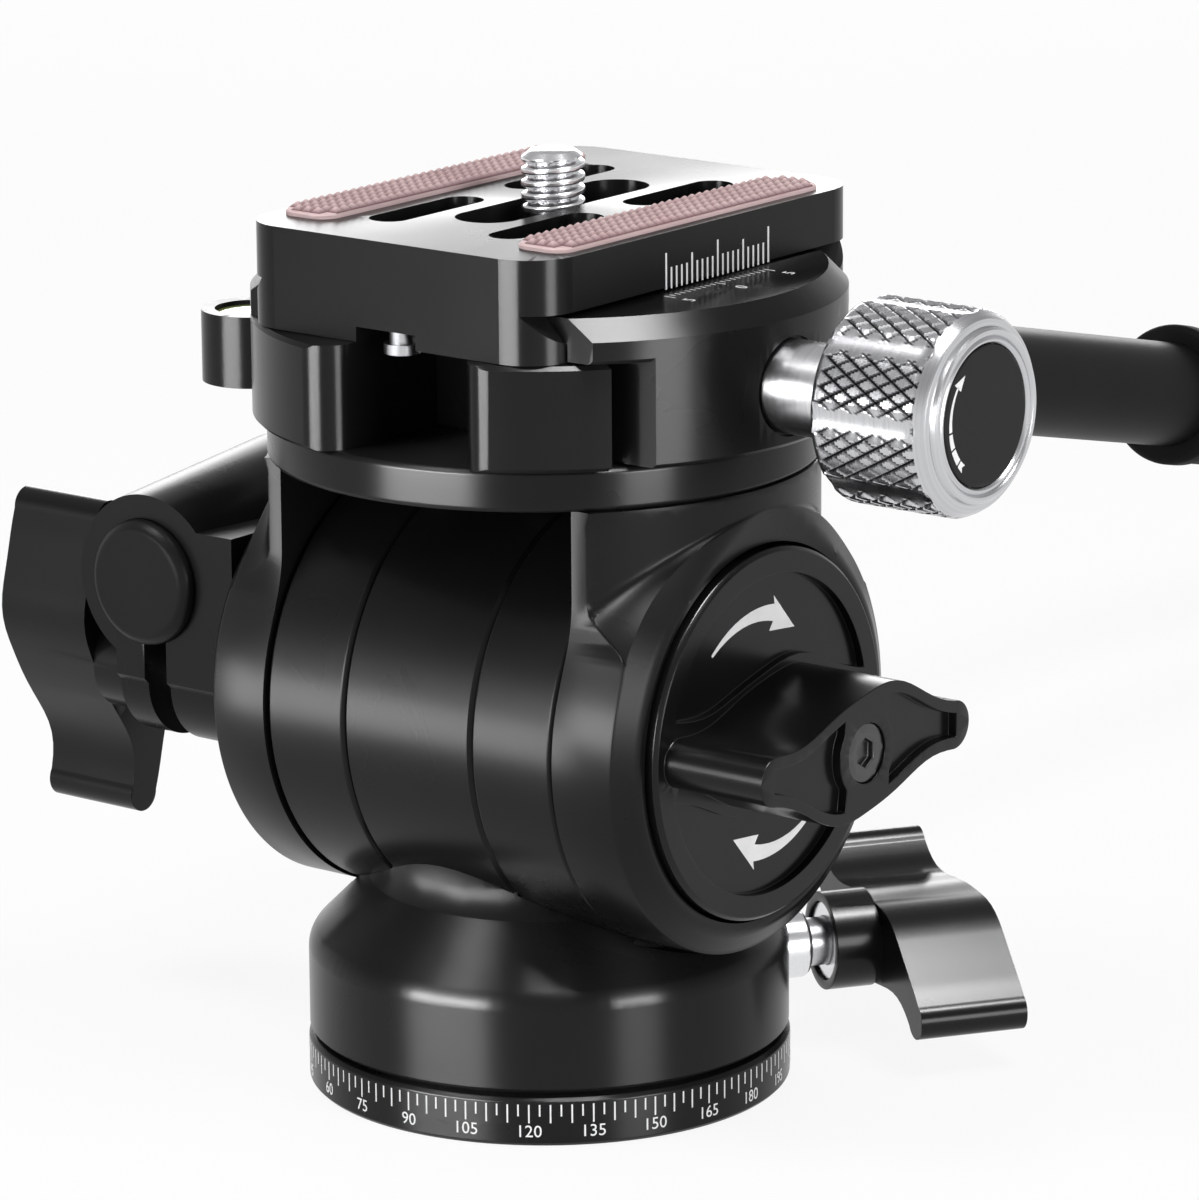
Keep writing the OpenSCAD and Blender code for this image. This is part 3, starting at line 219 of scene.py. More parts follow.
def makeTurned(name, s):
    # bare metal with tool lines about one axis
    mat, tree, shader = newMaterial(name)
    group = placeGroup(tree, turnedGroup, Centre=s["centre"], Turn=s["turn"], Scale=s["scale"])
    dressShader(tree, shader, group.outputs["Lines"], group.outputs["Lines"], s)
    shader.inputs["Metallic"].default_value = 1.0
    return mat


def makeGlass(name, s):
    mat, tree, shader = newMaterial(name)
    grain = placeGroup(tree, grainGroup, Scale=s["grain"], Cloud_Scale=s["cloud"])
    colour = colourRamp(tree, grain.outputs["Cloud"], s["dark"], s["light"])
    tree.links.new(colour, shader.inputs["Base Color"])
    shader.inputs["Roughness"].default_value = s["rough"]
    shader.inputs["Transmission Weight"].default_value = s["clear"]
    shader.inputs["IOR"].default_value = s["ior"]
    return mat


anodised = {"grain": 5200.0, "cloud": 45.0, "smudge": 70.0, "rough": 0.28, "spread": 0.06, "bump": 0.12,
            "deep": 0.00003, "specular": 0.15,
            "dark": (0.005, 0.005, 0.0053), "light": (0.008, 0.008, 0.0085)}
turnedSkin = {**anodised, "lathe": "Z", "draw": 0.85, "drawTurn": 0.25}
drawnTube = {**anodised, "rough": 0.4, "specular": 0.07}
glossy = {"grain": 2600.0, "cloud": 60.0, "smudge": 80.0, "rough": 0.22, "spread": 0.06, "bump": 0.05,
          "deep": 0.00002, "specular": 0.20,
          "dark": (0.004, 0.004, 0.0043), "light": (0.007, 0.007, 0.0074)}
plastic = {"grain": 3200.0, "cloud": 50.0, "smudge": 60.0, "rough": 0.36, "spread": 0.10, "bump": 0.20,
           "deep": 0.00003, "specular": 0.14,
           "dark": (0.006, 0.006, 0.0064), "light": (0.010, 0.010, 0.0105)}
foam = {"grain": 2200.0, "cloud": 90.0, "smudge": 120.0, "rough": 0.62, "spread": 0.16, "bump": 0.6,
        "deep": 0.0001, "specular": 0.08,
        "dark": (0.004, 0.004, 0.004), "light": (0.008, 0.008, 0.008)}
# the pyramids' feet get painted shade: a dark colour where the groove mask is set
pinkPad = {"grain": 3800.0, "cloud": 120.0, "smudge": 150.0, "rough": 0.62, "spread": 0.14, "bump": 0.25,
           "deep": 0.00004, "specular": 0.35,
           "dark": (0.64, 0.46, 0.46), "light": (0.74, 0.56, 0.56), "grooveShade": (0.14, 0.06, 0.07), "fall": 1.3}
slipSheet = {"grain": 3000.0, "cloud": 70.0, "smudge": 90.0, "rough": 0.5, "spread": 0.1, "bump": 0.08,
             "deep": 0.00002, "specular": 0.4,
             "dark": (0.74, 0.74, 0.71), "light": (0.82, 0.82, 0.80)}
whitePaint = {"grain": 6000.0, "cloud": 400.0, "smudge": 200.0, "rough": 0.55, "spread": 0.1, "bump": 0.05,
              "deep": 0.00001, "specular": 0.3,
              "dark": (0.84, 0.84, 0.84), "light": (0.92, 0.92, 0.92)}
bareMetal = {"smudge": 120.0, "deep": 0.00002}
silver = {**bareMetal, "scale": 2500.0, "rough": 0.26, "spread": 0.08, "bump": 0.25,
          "dark": (0.66, 0.665, 0.68), "light": (0.80, 0.805, 0.82)}
# the knurl's grooves get painted shade: a near-black colour where the groove mask is set
knurled = {**silver, "dark": (0.50, 0.505, 0.52), "light": (0.64, 0.645, 0.66),
           "grooveShade": (0.02, 0.02, 0.022), "fall": 1.0}
steel = {**bareMetal, "scale": 3500.0, "rough": 0.30, "spread": 0.10, "bump": 0.2,
         "dark": (0.48, 0.485, 0.50), "light": (0.62, 0.625, 0.64)}
darkSteel = {**steel, "dark": (0.07, 0.07, 0.072), "light": (0.10, 0.10, 0.103)}
chrome = {**bareMetal, "scale": 5000.0, "rough": 0.24, "spread": 0.06, "bump": 0.05,
          "dark": (0.74, 0.745, 0.76), "light": (0.84, 0.845, 0.86)}
bronze = {**bareMetal, "scale": 3000.0, "rough": 0.32, "spread": 0.10, "bump": 0.2,
          "dark": (0.58, 0.41, 0.17), "light": (0.70, 0.52, 0.25)}
vialGlass = {"grain": 300.0, "cloud": 120.0, "dark": (0.62, 0.80, 0.24), "light": (0.70, 0.86, 0.32),
             "rough": 0.05, "clear": 0.75, "ior": 1.45}
# axes that the tool lines run round, with their places in m
knobAxis = {"centre": (0.0, 0.0, studZ * mm), "turn": (0.0, -math.pi / 2, 0.0)}
tiltAxis = {"centre": (0.0, 0.0, tiltZ * mm), "turn": (0.0, -math.pi / 2, 0.0)}
upright = {"centre": (0.0, 0.0, 0.0), "turn": (0.0, 0.0, 0.0)}

look = {
    "anodised": makeCoated("satinBlackAnodised", anodised),
    "turnedBlack": makeCoated("turnedBlackAnodised", turnedSkin),
    "gloss": makeCoated("glossBlackEnamel", glossy),
    "plastic": makeCoated("mouldedBlackPlastic", plastic),
    "foam": makeCoated("gripFoam", foam),
    "pad": makeCoated("dustyPinkRubber", pinkPad),
    "slip": makeCoated("slipSheet", slipSheet),
    "print": makeCoated("whitePrint", whitePaint),
    "silver": makeTurned("brightTurnedAluminium", {**silver, **knobAxis}),
    "knurled": makeTurned("knurledAluminium", {**knurled, **knobAxis}),
    "steel": makeTurned("turnedSteel", {**steel, **tiltAxis}),
    "steelUp": makeTurned("turnedSteelUpright", {**steel, **upright}),
    "darkSteel": makeTurned("blackenedSteel", {**darkSteel, **tiltAxis}),
    "tube": makeCoated("drawnTubeAnodised", drawnTube),
    "chrome": makeTurned("polishedScrewSteel", {**chrome, **upright}),
    "bronze": makeTurned("bearingBronze", {**bronze, **tiltAxis}),
    "vial": makeGlass("levelVialGlass", vialGlass),
}
print("materials:", len(look))

# mesh helpers, with sizes in mm, angles in degrees and merge distances in m
weld = {"cad": 1e-6, "cut": 2e-6, "lathe": 3e-7, "cheek": 4e-7, "sliver": 1e-7, "print": 1e-8}
softEdge = {"flat": 0.6, "from": 32.0, "segments": 2, "shade": 38.0, "weight": 60}
tiny = 1e-6
poleR = 1e-4  # stands in for a radius of nothing


def polar(r, t):
    return r * math.cos(t), r * math.sin(t)


def faceOut(bm):
    bmesh.ops.recalc_face_normals(bm, faces=bm.faces)
    return bm


def merge(bm, distance):
    bmesh.ops.remove_doubles(bm, verts=bm.verts, dist=distance)
    return bm


def mergeFlat(bm, distance):
    # joins loose triangles, and flat runs of them into single faces
    merge(bm, distance)
    flat = math.radians(softEdge["flat"])
    bmesh.ops.dissolve_limit(bm, angle_limit=flat, verts=bm.verts, edges=bm.edges)
    return bm


def evaluatedMesh(obj):
    bpy.context.view_layer.update()
    graph = bpy.context.evaluated_depsgraph_get()
    done = obj.evaluated_get(graph)
    return bpy.data.meshes.new_from_object(done, preserve_all_data_layers=True, depsgraph=graph)


def bakeModifiers(obj):
    data = evaluatedMesh(obj)
    obj.modifiers.clear()
    old, obj.data = obj.data, data
    bpy.data.meshes.remove(old)


def pieceFrom(bm, name, mat, sharp=34.0, weighted=False):
    data = bpy.data.meshes.new(name)
    bm.to_mesh(data)
    bm.free()
    data.shade_smooth()
    data.set_sharp_from_angle(angle=math.radians(sharp))
    obj = bpy.data.objects.new(name, data)
    scene.collection.objects.link(obj)
    data.materials.clear()
    data.materials.append(look[mat])
    if weighted:
        weight = obj.modifiers.new("evenNormals", "WEIGHTED_NORMAL")
        weight.keep_sharp = True
        weight.weight = softEdge["weight"]
        bakeModifiers(obj)
    return obj


def takeMesh(obj):
    # a piece's mesh to work on further, without the piece
    bm = bmesh.new()
    bm.from_mesh(obj.data)
    bpy.data.objects.remove(obj)
    return bm


def settle(obj, body, slotName, *stands):
    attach(obj, body)
    if stands:
        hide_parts(*stands)
    return obj


def gridMesh(rows, closeAcross=False, closeAlong=False, caps=False):
    # rows of points joined into quads
    bm = bmesh.new()
    made = [[bm.verts.new(Vector(p) * mm) for p in row] for row in rows]
    n, m = len(made), len(made[0])
    for i in range(n if closeAlong else n - 1):
        for j in range(m if closeAcross else m - 1):
            a, b = made[i], made[(i + 1) % n]
            bm.faces.new((a[j], a[(j + 1) % m], b[(j + 1) % m], b[j]))
    if caps:
        bm.faces.new(made[0])
        bm.faces.new(made[-1])
    return bm


def prism(rows):
    # a stack of rings, closed at both ends
    return faceOut(gridMesh(rows, closeAcross=True, caps=True))


def roundPath(points, steps=5):
    # points (a, b, fillet radius); returns a polyline with the corners rounded
    out, n = [], len(points)
    for i, (a, b, r) in enumerate(points):
        if r <= 0:
            out.append((a, b))
            continue
        p = Vector((a, b))
        u = (Vector(points[i - 1][:2]) - p).normalized()
        v = (Vector(points[(i + 1) % n][:2]) - p).normalized()
        half = math.acos(max(-1, min(1, u.dot(v)))) / 2
        run = r / math.tan(half)
        centre = p + (u + v).normalized() * (r / math.sin(half))
        first, last = p + u * run - centre, p + v * run - centre
        turn = math.atan2(first.x * last.y - first.y * last.x, first.dot(last))
        for k in range(steps + 1):
            c, s = polar(1.0, turn * k / steps)
            out.append((centre.x + first.x * c - first.y * s, centre.y + first.x * s + first.y * c))
    return out


def lathe(profile, place, turns, loop=False):
    # profile of (radius, station) turned about the local Z of place
    rows = []
    for r, h in profile:
        ring = [polar(max(r, poleR), 2 * math.pi * j / turns) for j in range(turns)]
        rows.append([place @ Vector((x, y, h)) for x, y in ring])
    return faceOut(merge(gridMesh(rows, closeAcross=True, closeAlong=loop), weld["lathe"]))


def joinInto(bm, other):
    # adds another bmesh to the first and frees it
    spare = bpy.data.meshes.new("spare")
    other.to_mesh(spare)
    other.free()
    bm.from_mesh(spare)
    bpy.data.meshes.remove(spare)


def mergedCopy(node):
    bm = bmesh.new()
    bm.from_mesh(nodes[node].data)
    return mergeFlat(bm, weld["cad"])


def breakEdges(bm, width, sharp=softEdge["from"], segments=softEdge["segments"]):
    limit = math.radians(sharp)
    edges = [e for e in bm.edges if len(e.link_faces) == 2 and e.calc_face_angle(0.0) > limit]
    bmesh.ops.bevel(bm, geom=edges, offset=width * mm, offset_type="OFFSET", segments=segments,
                    profile=0.5, affect="EDGES", clamp_overlap=True)
    bmesh.ops.triangulate(bm, faces=[f for f in bm.faces if len(f.verts) > 4])


def cutWith(piece, cutMesh):
    # takes a closed mesh out of a piece
    cutter = pieceFrom(cutMesh, "cutter", "anodised")
    cut = piece.modifiers.new("cut", "BOOLEAN")
    cut.operation, cut.solver, cut.object = "DIFFERENCE", "EXACT", cutter
    bakeModifiers(piece)
    bpy.data.objects.remove(cutter)


def softCopy(node, width, mat, slotName, cutters=()):
    # a CAD node's mesh with its machined edges broken, so that they catch the light
    bm = mergedCopy(node)
    if cutters:
        rough = pieceFrom(bm, node + "_rough", mat)
        for cutter in cutters:
            cutWith(rough, cutter)
        bm = mergeFlat(takeMesh(rough), weld["cut"])
    breakEdges(bm, width)
    obj = pieceFrom(bm, node + "_look", mat, sharp=softEdge["shade"], weighted=True)
    return settle(obj, bodyOf[node], slotName, node)


# geometry node helpers: a tree's inputs are named sizes, and it always ends realized and painted
def newTree(name, sizes, counts=None):
    tree = bpy.data.node_groups.new(name, "GeometryNodeTree")
    tree.is_modifier = True
    socket(tree, "Geometry", "Geometry")
    for key, value in sizes.items():
        socket(tree, key, "Float", value=value)
    for key, value in (counts or {}).items():
        socket(tree, key, "Int", value=value)
    socket(tree, "Finish", "Material")
    socket(tree, "Geometry", "Geometry", "OUTPUT")
    return tree, addNode(tree, "NodeGroupInput").outputs


def closeTree(tree, pins, points, instance):
    # points and instance are nodes; instance stands on each point
    real = addNode(tree, "GeometryNodeRealizeInstances")
    paint = addNode(tree, "GeometryNodeSetMaterial")
    out = addNode(tree, "NodeGroupOutput")
    spread = addNode(tree, "GeometryNodeInstanceOnPoints")
    tree.links.new(points.outputs[0], spread.inputs["Points"])
    tree.links.new(instance.outputs[0], spread.inputs["Instance"])
    tree.links.new(spread.outputs[0], real.inputs[0])
    tree.links.new(real.outputs[0], paint.inputs["Geometry"])
    tree.links.new(pins["Finish"], paint.inputs["Material"])
    tree.links.new(paint.outputs[0], out.inputs[0])
    return spread


def growNodes(tree, name, mat, values):
    obj = bpy.data.objects.new(name, bpy.data.meshes.new(name))
    scene.collection.objects.link(obj)
    grow = obj.modifiers.new(tree.name, "NODES")
    grow.node_group = tree
    values = {**values, "Finish": look[mat]}
    for item in tree.interface.items_tree:
        if item.item_type == "SOCKET" and item.in_out == "INPUT" and item.name in values:
            grow[item.identifier] = values[item.name]
    bakeModifiers(obj)
    return obj


# finishes of the nodes that stay as they are
plainNodes = {
    "steelUp": ["pan_hub", "base_screws", "ring_screws", "cheek_screws", "clamp_screws", "stop_screws",
                "pan_lock_stud"],
    "steel": ["cap_screws", "stator_plates", "rotor_plates", "tilt_shaft", "bracket_screws", "jaw_pins",
              "handle_lock_stud", "clamp_stud"],
    "bronze": ["pan_retaining_ring", "shaft_bushes", "pan_lock_pad", "tilt_lock_insert"],
    "slip": ["pan_thrust_washer", "pan_slip_washer", "pan_top_washer", "tilt_washers", "tilt_lock_washer"],
    "foam": ["cap_seals", "shaft_seals"],
}
for mat, names in plainNodes.items():
    for name in names:
        nodes[name].data.materials.clear()
        nodes[name].data.materials.append(look[mat])

softNodes = {  # node: (edge break, finish, slot)
    "base_disc": (0.25, "turnedBlack", "black_anodised"),
    "drum_cap_left": (0.25, "anodised", "black_anodised"),
    "drum_cap_right": (0.25, "anodised", "black_anodised"),
    "top_disc": (0.25, "turnedBlack", "black_anodised"),
    "handle_bracket": (0.45, "anodised", "black_anodised"),
    "clamp_body": (0.35, "turnedBlack", "black_anodised"),
    "clamp_jaw": (0.35, "turnedBlack", "black_anodised"),
    "qr_plate": (0.35, "turnedBlack", "black_anodised"),
    "tilt_lock_screw": (0.15, "darkSteel", "steel"),
    "pan_lock_wing": (0.7, "gloss", "gloss_black"),
    "handle_lock_wing": (0.7, "gloss", "gloss_black"),
    "pan_lock_collar": (0.2, "chrome", "bright_aluminium"),
    "pan_lock_nut": (0.15, "chrome", "bright_aluminium"),
    "clamp_knob_sleeve": (0.3, "silver", "bright_aluminium"),
    "clamp_knob_disc": (0.1, "anodised", "black_anodised"),
    "handle_cap": (0.3, "plastic", "black_plastic"),
    "grip_end_cap": (0.4, "plastic", "black_plastic"),
}
# rounder upright corners: the plate's four, and the clamp block's beside its open channels
corner = {"plateR": 5.2, "tangent": 2.0, "blockR": 2.6, "blockX": 9.8, "clampR": 29.0, "blockLow": 68.0,
          "blockHigh": 80.5, "over": 1.0, "past": 3.0, "steps": 24, "coarse": 6}


def cornerCutter(centre, radius, first, last, low, high):
    # an upright prism that leaves a corner with the given round, between two directions in degrees
    steps = corner["steps"]
    turns = [math.radians(first + (last - first) * k / steps) for k in range(steps + 1)]
    line = [(radius, t) for t in turns]
    line += [(radius + corner["past"], t) for t in turns[::-corner["coarse"]]]
    line = [(centre[0] + r * math.cos(t), centre[1] + r * math.sin(t)) for r, t in line]
    return prism([[(x, y, z) for x, y in line] for z in (low, high)])


def plateCorners():
    low, high = boxMm("qr_plate")
    r, ease, over = corner["plateR"], corner["tangent"], corner["over"]
    right, left, rear, front = high.x - r, low.x + r, high.y - r, low.y + r
    cutters = []
    for k, centre in enumerate(((right, rear), (left, rear), (left, front), (right, front))):
        first, last = 90 * k + ease, 90 * k + 90 - ease
        cutters.append(cornerCutter(centre, r, first, last, low.z - over, high.z + over))
    return cutters


def blockCorners():
    r, ease, low, high = (corner[key] for key in ("blockR", "tangent", "blockLow", "blockHigh"))
    x = corner["blockX"] + r
    y = math.sqrt((corner["clampR"] - r) ** 2 - x * x)
    out = math.degrees(math.atan2(y, x))
    cutters = []
    for side in (1, -1):
        first, last = side * (180 - ease), side * (out + ease)
        cutters.append(cornerCutter((x, side * y), r, first, last, low, high))
    return cutters


shaped = {"qr_plate": plateCorners(), "clamp_body": blockCorners()}
for name, (width, mat, slotName) in softNodes.items():
    softCopy(name, width, mat, slotName, shaped.get(name, ()))

panBody = {"edge": 0.25, "split": 21.0}


def makePanBody():
    # its skirt is turned, so it has a finish of its own, and the drum above has another
    skirt = mergedCopy("pan_body")
    breakEdges(skirt, panBody["edge"])
    drum = skirt.copy()
    for part, upper in ((skirt, False), (drum, True)):
        gone = [f for f in part.faces if (f.calc_center_median().z > panBody["split"] * mm) != upper]
        bmesh.ops.delete(part, geom=gone, context="FACES")
    skirtPiece = pieceFrom(skirt, "pan_body_look", "turnedBlack", sharp=softEdge["shade"], weighted=True)
    settle(skirtPiece, "pan", "black_anodised", "pan_body")
    drumPiece = pieceFrom(drum, "pan_drum_look", "anodised", sharp=softEdge["shade"], weighted=True)
    settle(drumPiece, "pan", "black_anodised")


makePanBody()
print("softened copies:", len(softNodes) + 2)

# right and left cheek of the yoke: a turned boss that flows into a wall following the clamp's round plan
cheek = {"turns": 240, "bossR": 22.5, "wallR": 27.6, "wallHalf": 19.15, "rise": 24.9, "inner": 18.3,
         "blend": 3.6, "ease": 2.4, "edge": 0.35, "chamfer": 0.3, "steep": 4.5, "fade": 3.0,
         "fadeDeep": 12.0, "mouthR": 19.02, "mouthX": 26.9, "sinkSlope": 5.0, "floorX": 21.5, "shaftR": 6.2,
         "shade": 40.0, "rightRim": [(19.37, 27.3), (22.5, 25.2)], "leftRim": [(20.5, 26.6), (22.5, 24.6)],
         "sunkSteps": [0.0, 0.1, 0.35, 0.9, 1.6, 2.3, 3.0, 3.3, 3.48],
         "plainSteps": [0, 6, 12, 17, 19.5, 20.3, 20.5, 20.7, 21.3, 22.0, 22.3],
         "wallSteps": [0.0, 0.08, 0.16, 0.26, 0.38, 0.52, 0.7, 0.9, 1.2, 1.6, 2.1, 2.8, 3.7, 4.8, 6.2,
                       7.8]}


def softMax(a, b, reach):
    near = max(reach - abs(a - b), 0.0) / reach
    return max(a, b) + near * near * reach / 4


def cheekAngles():
    even = [2 * math.pi * k / cheek["turns"] for k in range(cheek["turns"])]
    top = math.atan2(cheek["rise"], cheek["wallHalf"])
    leave = math.acos(cheek["wallHalf"] / cheek["bossR"])
    return sorted(even + [top, math.pi - top, leave, math.pi - leave])


def cheekReach(t):
    # how far the outline lies from the tilt axis in direction t
    if math.sin(t) <= 0:
        return cheek["bossR"]
    side = cheek["wallHalf"] / max(abs(math.cos(t)), tiny)
    top = cheek["rise"] / max(math.sin(t), tiny)
    return softMax(cheek["bossR"], min(side, top), cheek["ease"])


def cheekHeight(r, t, rim, sunk):
    (r0, x0), (r1, x1) = rim
    boss = x0
    if r > r0:
        boss = x0 + (x1 - x0) * (min(r, r1) - r0) / (r1 - r0) - cheek["steep"] * max(r - r1, 0)
    y, z = polar(r, t)
    if math.sin(t) > 0 and abs(y) < cheek["wallR"]:
        wall = math.sqrt(cheek["wallR"] ** 2 - y * y)
        inset = max(0.0, 1.0 - z / cheek["fade"])  # the wall starts at the tilt axis' height
        boss = softMax(boss, wall - cheek["fadeDeep"] * inset, cheek["blend"])
    if sunk:
        boss = min(boss, cheek["mouthX"] + (r - cheek["mouthR"]) / cheek["sinkSlope"])
    return boss


def cheekProfile(t, rim, sunk):
    reach, edge, slant = cheekReach(t), cheek["edge"], cheek["chamfer"] * cheek["edge"]
    if sunk:
        radii = [cheek["mouthR"] + s for s in cheek["sunkSteps"]]
    else:
        radii = cheek["plainSteps"][:]
    radii += [cheek["bossR"] + min(s, reach - cheek["bossR"]) for s in cheek["wallSteps"]]
    radii = [min(r, reach - edge) for r in radii]
    line = [(r, cheekHeight(r, t, rim, sunk)) for r in radii]
    edgeX = line[-1][1]
    line += [(reach - slant, edgeX - slant), (reach, edgeX - edge), (reach, cheek["inner"])]
    if not sunk:
        return line + [(0.0, cheek["inner"])]
    floor = [(r, cheek["floorX"]) for r in (cheek["shaftR"], cheek["mouthR"])]
    return floor + line + [(cheek["shaftR"], cheek["inner"])]


def makeCheek(node, side, rim, sunk):
    columns = []
    for t in cheekAngles():
        column = []
        for r, x in cheekProfile(t, rim, sunk):
            y, z = polar(max(r, poleR), t)
            column.append((side * x, y, tiltZ + z))
        columns.append(column)
    bm = merge(gridMesh(list(zip(*columns)), closeAcross=True, closeAlong=sunk), weld["cheek"])
    bmesh.ops.dissolve_degenerate(bm, edges=bm.edges, dist=weld["sliver"])
    piece = pieceFrom(faceOut(bm), node + "_look", "anodised", sharp=cheek["shade"])
    settle(piece, "yoke", "black_anodised", node)


makeCheek("cheek_right", 1, cheek["rightRim"], True)
makeCheek("cheek_left", -1, cheek["leftRim"], False)
print("cheeks ready")

# clamp knob: flat-topped diamonds between eight smooth flutes, a smooth end band and a rounded rim
knob = {"diamonds": 42, "cells": 8, "lean": 30.0, "groove": 0.42, "grooveCells": 1, "start": 40.7,
        "stop": 51.6, "bandStop": 52.4, "bandSteps": 8, "shoulder": 51.3, "slope": 0.62, "flutes": 8,
        "fluteR": 4.0, "fluteDeep": 0.52, "fluteStop": 50.4, "fluteMost": 1.0, "skin": 1.3, "boreR": 4.7,
        "rimOut": 1.7, "shade": 24.0,
        # points of the profile: in from a radius, and in from the knob's nearer end
        "innerEdge": [(1.2, 0.0), (0.7, 0.12), (0.22, 0.55), (0.03, 0.95)],
        "face": [(0.2, 0.82)],
        "rim": [(-0.25, 0.7), (-0.04, 0.66), (0.0, 0.55), (0.08, 0.25), (0.28, 0.06), (0.5, 0.0),
                (0.72, 0.06), (0.88, 0.2), (0.93, 0.3), (1.0, 0.22), (1.2, 0.12)],
        "mouth": [(-0.3, 0.16), (-0.08, 0.4), (-0.03, 0.5)]}


def knobSkin(bodyR, x):
    # radius of the knurled skin, which falls away at the shoulder
    return bodyR - knob["slope"] * max(x - knob["shoulder"], 0.0)


def fluteFloor(bodyR, t, x):
    # radius of the flutes' floor, which runs out in a round end past the stop
    turn = 2 * math.pi / knob["flutes"]
    off = (t + turn / 2) % turn - turn / 2
    cut, centre = knob["fluteR"], bodyR + knob["fluteR"] - knob["fluteDeep"]
    past = max(x - knob["fluteStop"], 0.0)
    if past >= cut:
        return bodyR
    cut = math.sqrt(cut * cut - past * past)
    across = centre * math.sin(off)
    if abs(across) >= cut:
        return bodyR
    return centre * math.cos(off) - math.sqrt(cut * cut - across * across)


def knobStations(bodyR, inX, outX, stepX, knurlRows):
    # (radius, station) before, on and after the knurl
    discLow, discHigh = boxMm("clamp_knob_disc")
    discR = discHigh.z - studZ
    before = [(knob["boreR"], inX)] + [(bodyR - r, inX + x) for r, x in knob["innerEdge"]]
    places = [knob["start"] + k * stepX for k in range(knurlRows + 1)]
    knurlEnd = places[-1]
    bandStep = (knob["bandStop"] - knurlEnd) / knob["bandSteps"]
    band = [knurlEnd + k * bandStep for k in range(1, knob["bandSteps"] + 1)]
    after = [(knobSkin(bodyR, x), x) for x in band]
    edgeR, rimR = knobSkin(bodyR, knob["bandStop"]), discR + knob["rimOut"]
    for fromR, line in ((edgeR, knob["face"]), (rimR, knob["rim"]), (discR, knob["mouth"])):
        after += [(fromR - r, outX - x) for r, x in line]
    after.append((after[-1][0], discLow.x))
    return before, [(knobSkin(bodyR, x), x) for x in places], after


def makeKnob():
    low, high = boxMm("clamp_knob")
    bodyR, cells = (high.z - low.z) / 2, knob["cells"]
    around = knob["diamonds"] * cells
    stepX = 2 * math.pi * bodyR / around / math.tan(math.radians(knob["lean"]))
    knurlRows = int((knob["stop"] - knob["start"]) / stepX)
    before, knurl, after = knobStations(bodyR, low.x, high.x, stepX, knurlRows)
    rows, sunkRows = [], []
    for i, (r, x) in enumerate(before + knurl + after):
        k = i - len(before)
        row, marks = [], []
        for j in range(around):
            t = 2 * math.pi * j / around
            sunk = 0 <= k <= knurlRows and min((j + k) % cells, (j - k) % cells) < knob["grooveCells"]
            onSkin = bodyR - knob["skin"] < r and x < knob["bandStop"]
            floor = fluteFloor(bodyR, t, x) if onSkin else r
            here = min(r - (knob["groove"] if sunk else 0.0), max(floor, r - knob["fluteMost"]))
            row.append((x, here * math.cos(t), studZ + here * math.sin(t)))
            marks.append(sunk and here < floor - tiny)
        rows.append(row)
        sunkRows.append(marks)
    bm = bmesh.new()
    made = [[bm.verts.new(Vector(p) * mm) for p in row] for row in rows]
    for i in range(len(rows) - 1):
        for j in range(around):
            n = (j + 1) % around
            a, b, c, d = made[i][j], made[i + 1][j], made[i + 1][n], made[i][n]
            # a quad with a groove from corner to corner is split along it
            if sunkRows[i][j] and sunkRows[i + 1][n]:
                faces = ((a, b, c), (a, c, d))
            elif sunkRows[i + 1][j] and sunkRows[i][n]:
                faces = ((a, b, d), (b, c, d))
            else:
                faces = ((a, b, c, d),)
            for face in faces:
                bm.faces.new(face)
    for row in (made[0], made[-1]):
        bm.faces.new(row)
    piece = pieceFrom(faceOut(bm), "clamp_knob_look", "knurled", sharp=knob["shade"])
    # the groove mask: the knob's material paints shade where it is set
    groove = piece.data.attributes.new("groove", "FLOAT", "POINT")
    groove.data.foreach_set("value", [float(mark) for marks in sunkRows for mark in marks])
    settle(piece, "knob", "bright_aluminium", "clamp_knob")


makeKnob()
print("knurled knob ready")

# handle: one tube through the bend, and the foam grip with its lip
handle = {"tubeR": 6.5, "wall": 1.2, "sides": 64, "bendY": 102.7, "bendR": 60.0, "bendAngle": 12.9,
          "bendRoll": 90.0, "bendSteps": 16, "frontEdge": 0.3, "frontShares": (0.6, 0.3, 0.0),
          "rearSteps": (20.0, 40.0, 90.0, 151.0)}
grip = {"start": 59.0, "long": 95.0, "r": 8.8, "lip": 3.0, "sink": 0.35, "fit": 0.02, "slope": 0.6,
        "endRound": 0.9, "lipRound": 0.8, "footRound": 0.4, "turns": 96}
handleAt = Vector((jointAt["handle_roll"].x, handle["bendY"], jointAt["handle_roll"].z))
bendTurn = math.radians(handle["bendAngle"])
bendPlace = Matrix.Translation(handleAt) @ Matrix.Rotation(math.radians(handle["bendRoll"]), 4, "Y")


def bendPoint(t):
    return Vector((handle["bendR"] * (1 - math.cos(t)), handle["bendR"] * math.sin(t), 0))


def makeHandleTube():
    front = boxMm("handle_tube")[0].y - handle["bendY"]
    ahead = [front, front + handle["frontEdge"]] + [front * share for share in handle["frontShares"]]
    run = [(Vector((0, y, 0)), 0.0) for y in ahead]
    for k in range(1, handle["bendSteps"] + 1):
        t = bendTurn * k / handle["bendSteps"]
        run.append((bendPoint(t), t))
    last, onward = run[-1][0], Vector((math.sin(bendTurn), math.cos(bendTurn), 0))
    run += [(last + onward * d, bendTurn) for d in handle["rearSteps"]]
    rows = []
    for radius, way in ((handle["tubeR"], 1), (handle["tubeR"] - handle["wall"], -1)):
        for place, t in run[::way]:
            side, up = Vector((math.cos(t), -math.sin(t), 0)), Vector((0, 0, 1))
            ring = []
            for j in range(handle["sides"]):
                turn = 2 * math.pi * j / handle["sides"]
                ring.append(bendPlace @ (place + (side * math.cos(turn) + up * math.sin(turn)) * radius))
            rows.append(ring)
    bm = faceOut(gridMesh(rows, closeAcross=True, closeAlong=True))
    tube = pieceFrom(bm, "handle_tube_look", "tube")
    settle(tube, "handle", "black_anodised", "handle_tube", "handle_bend", "handle_rear")


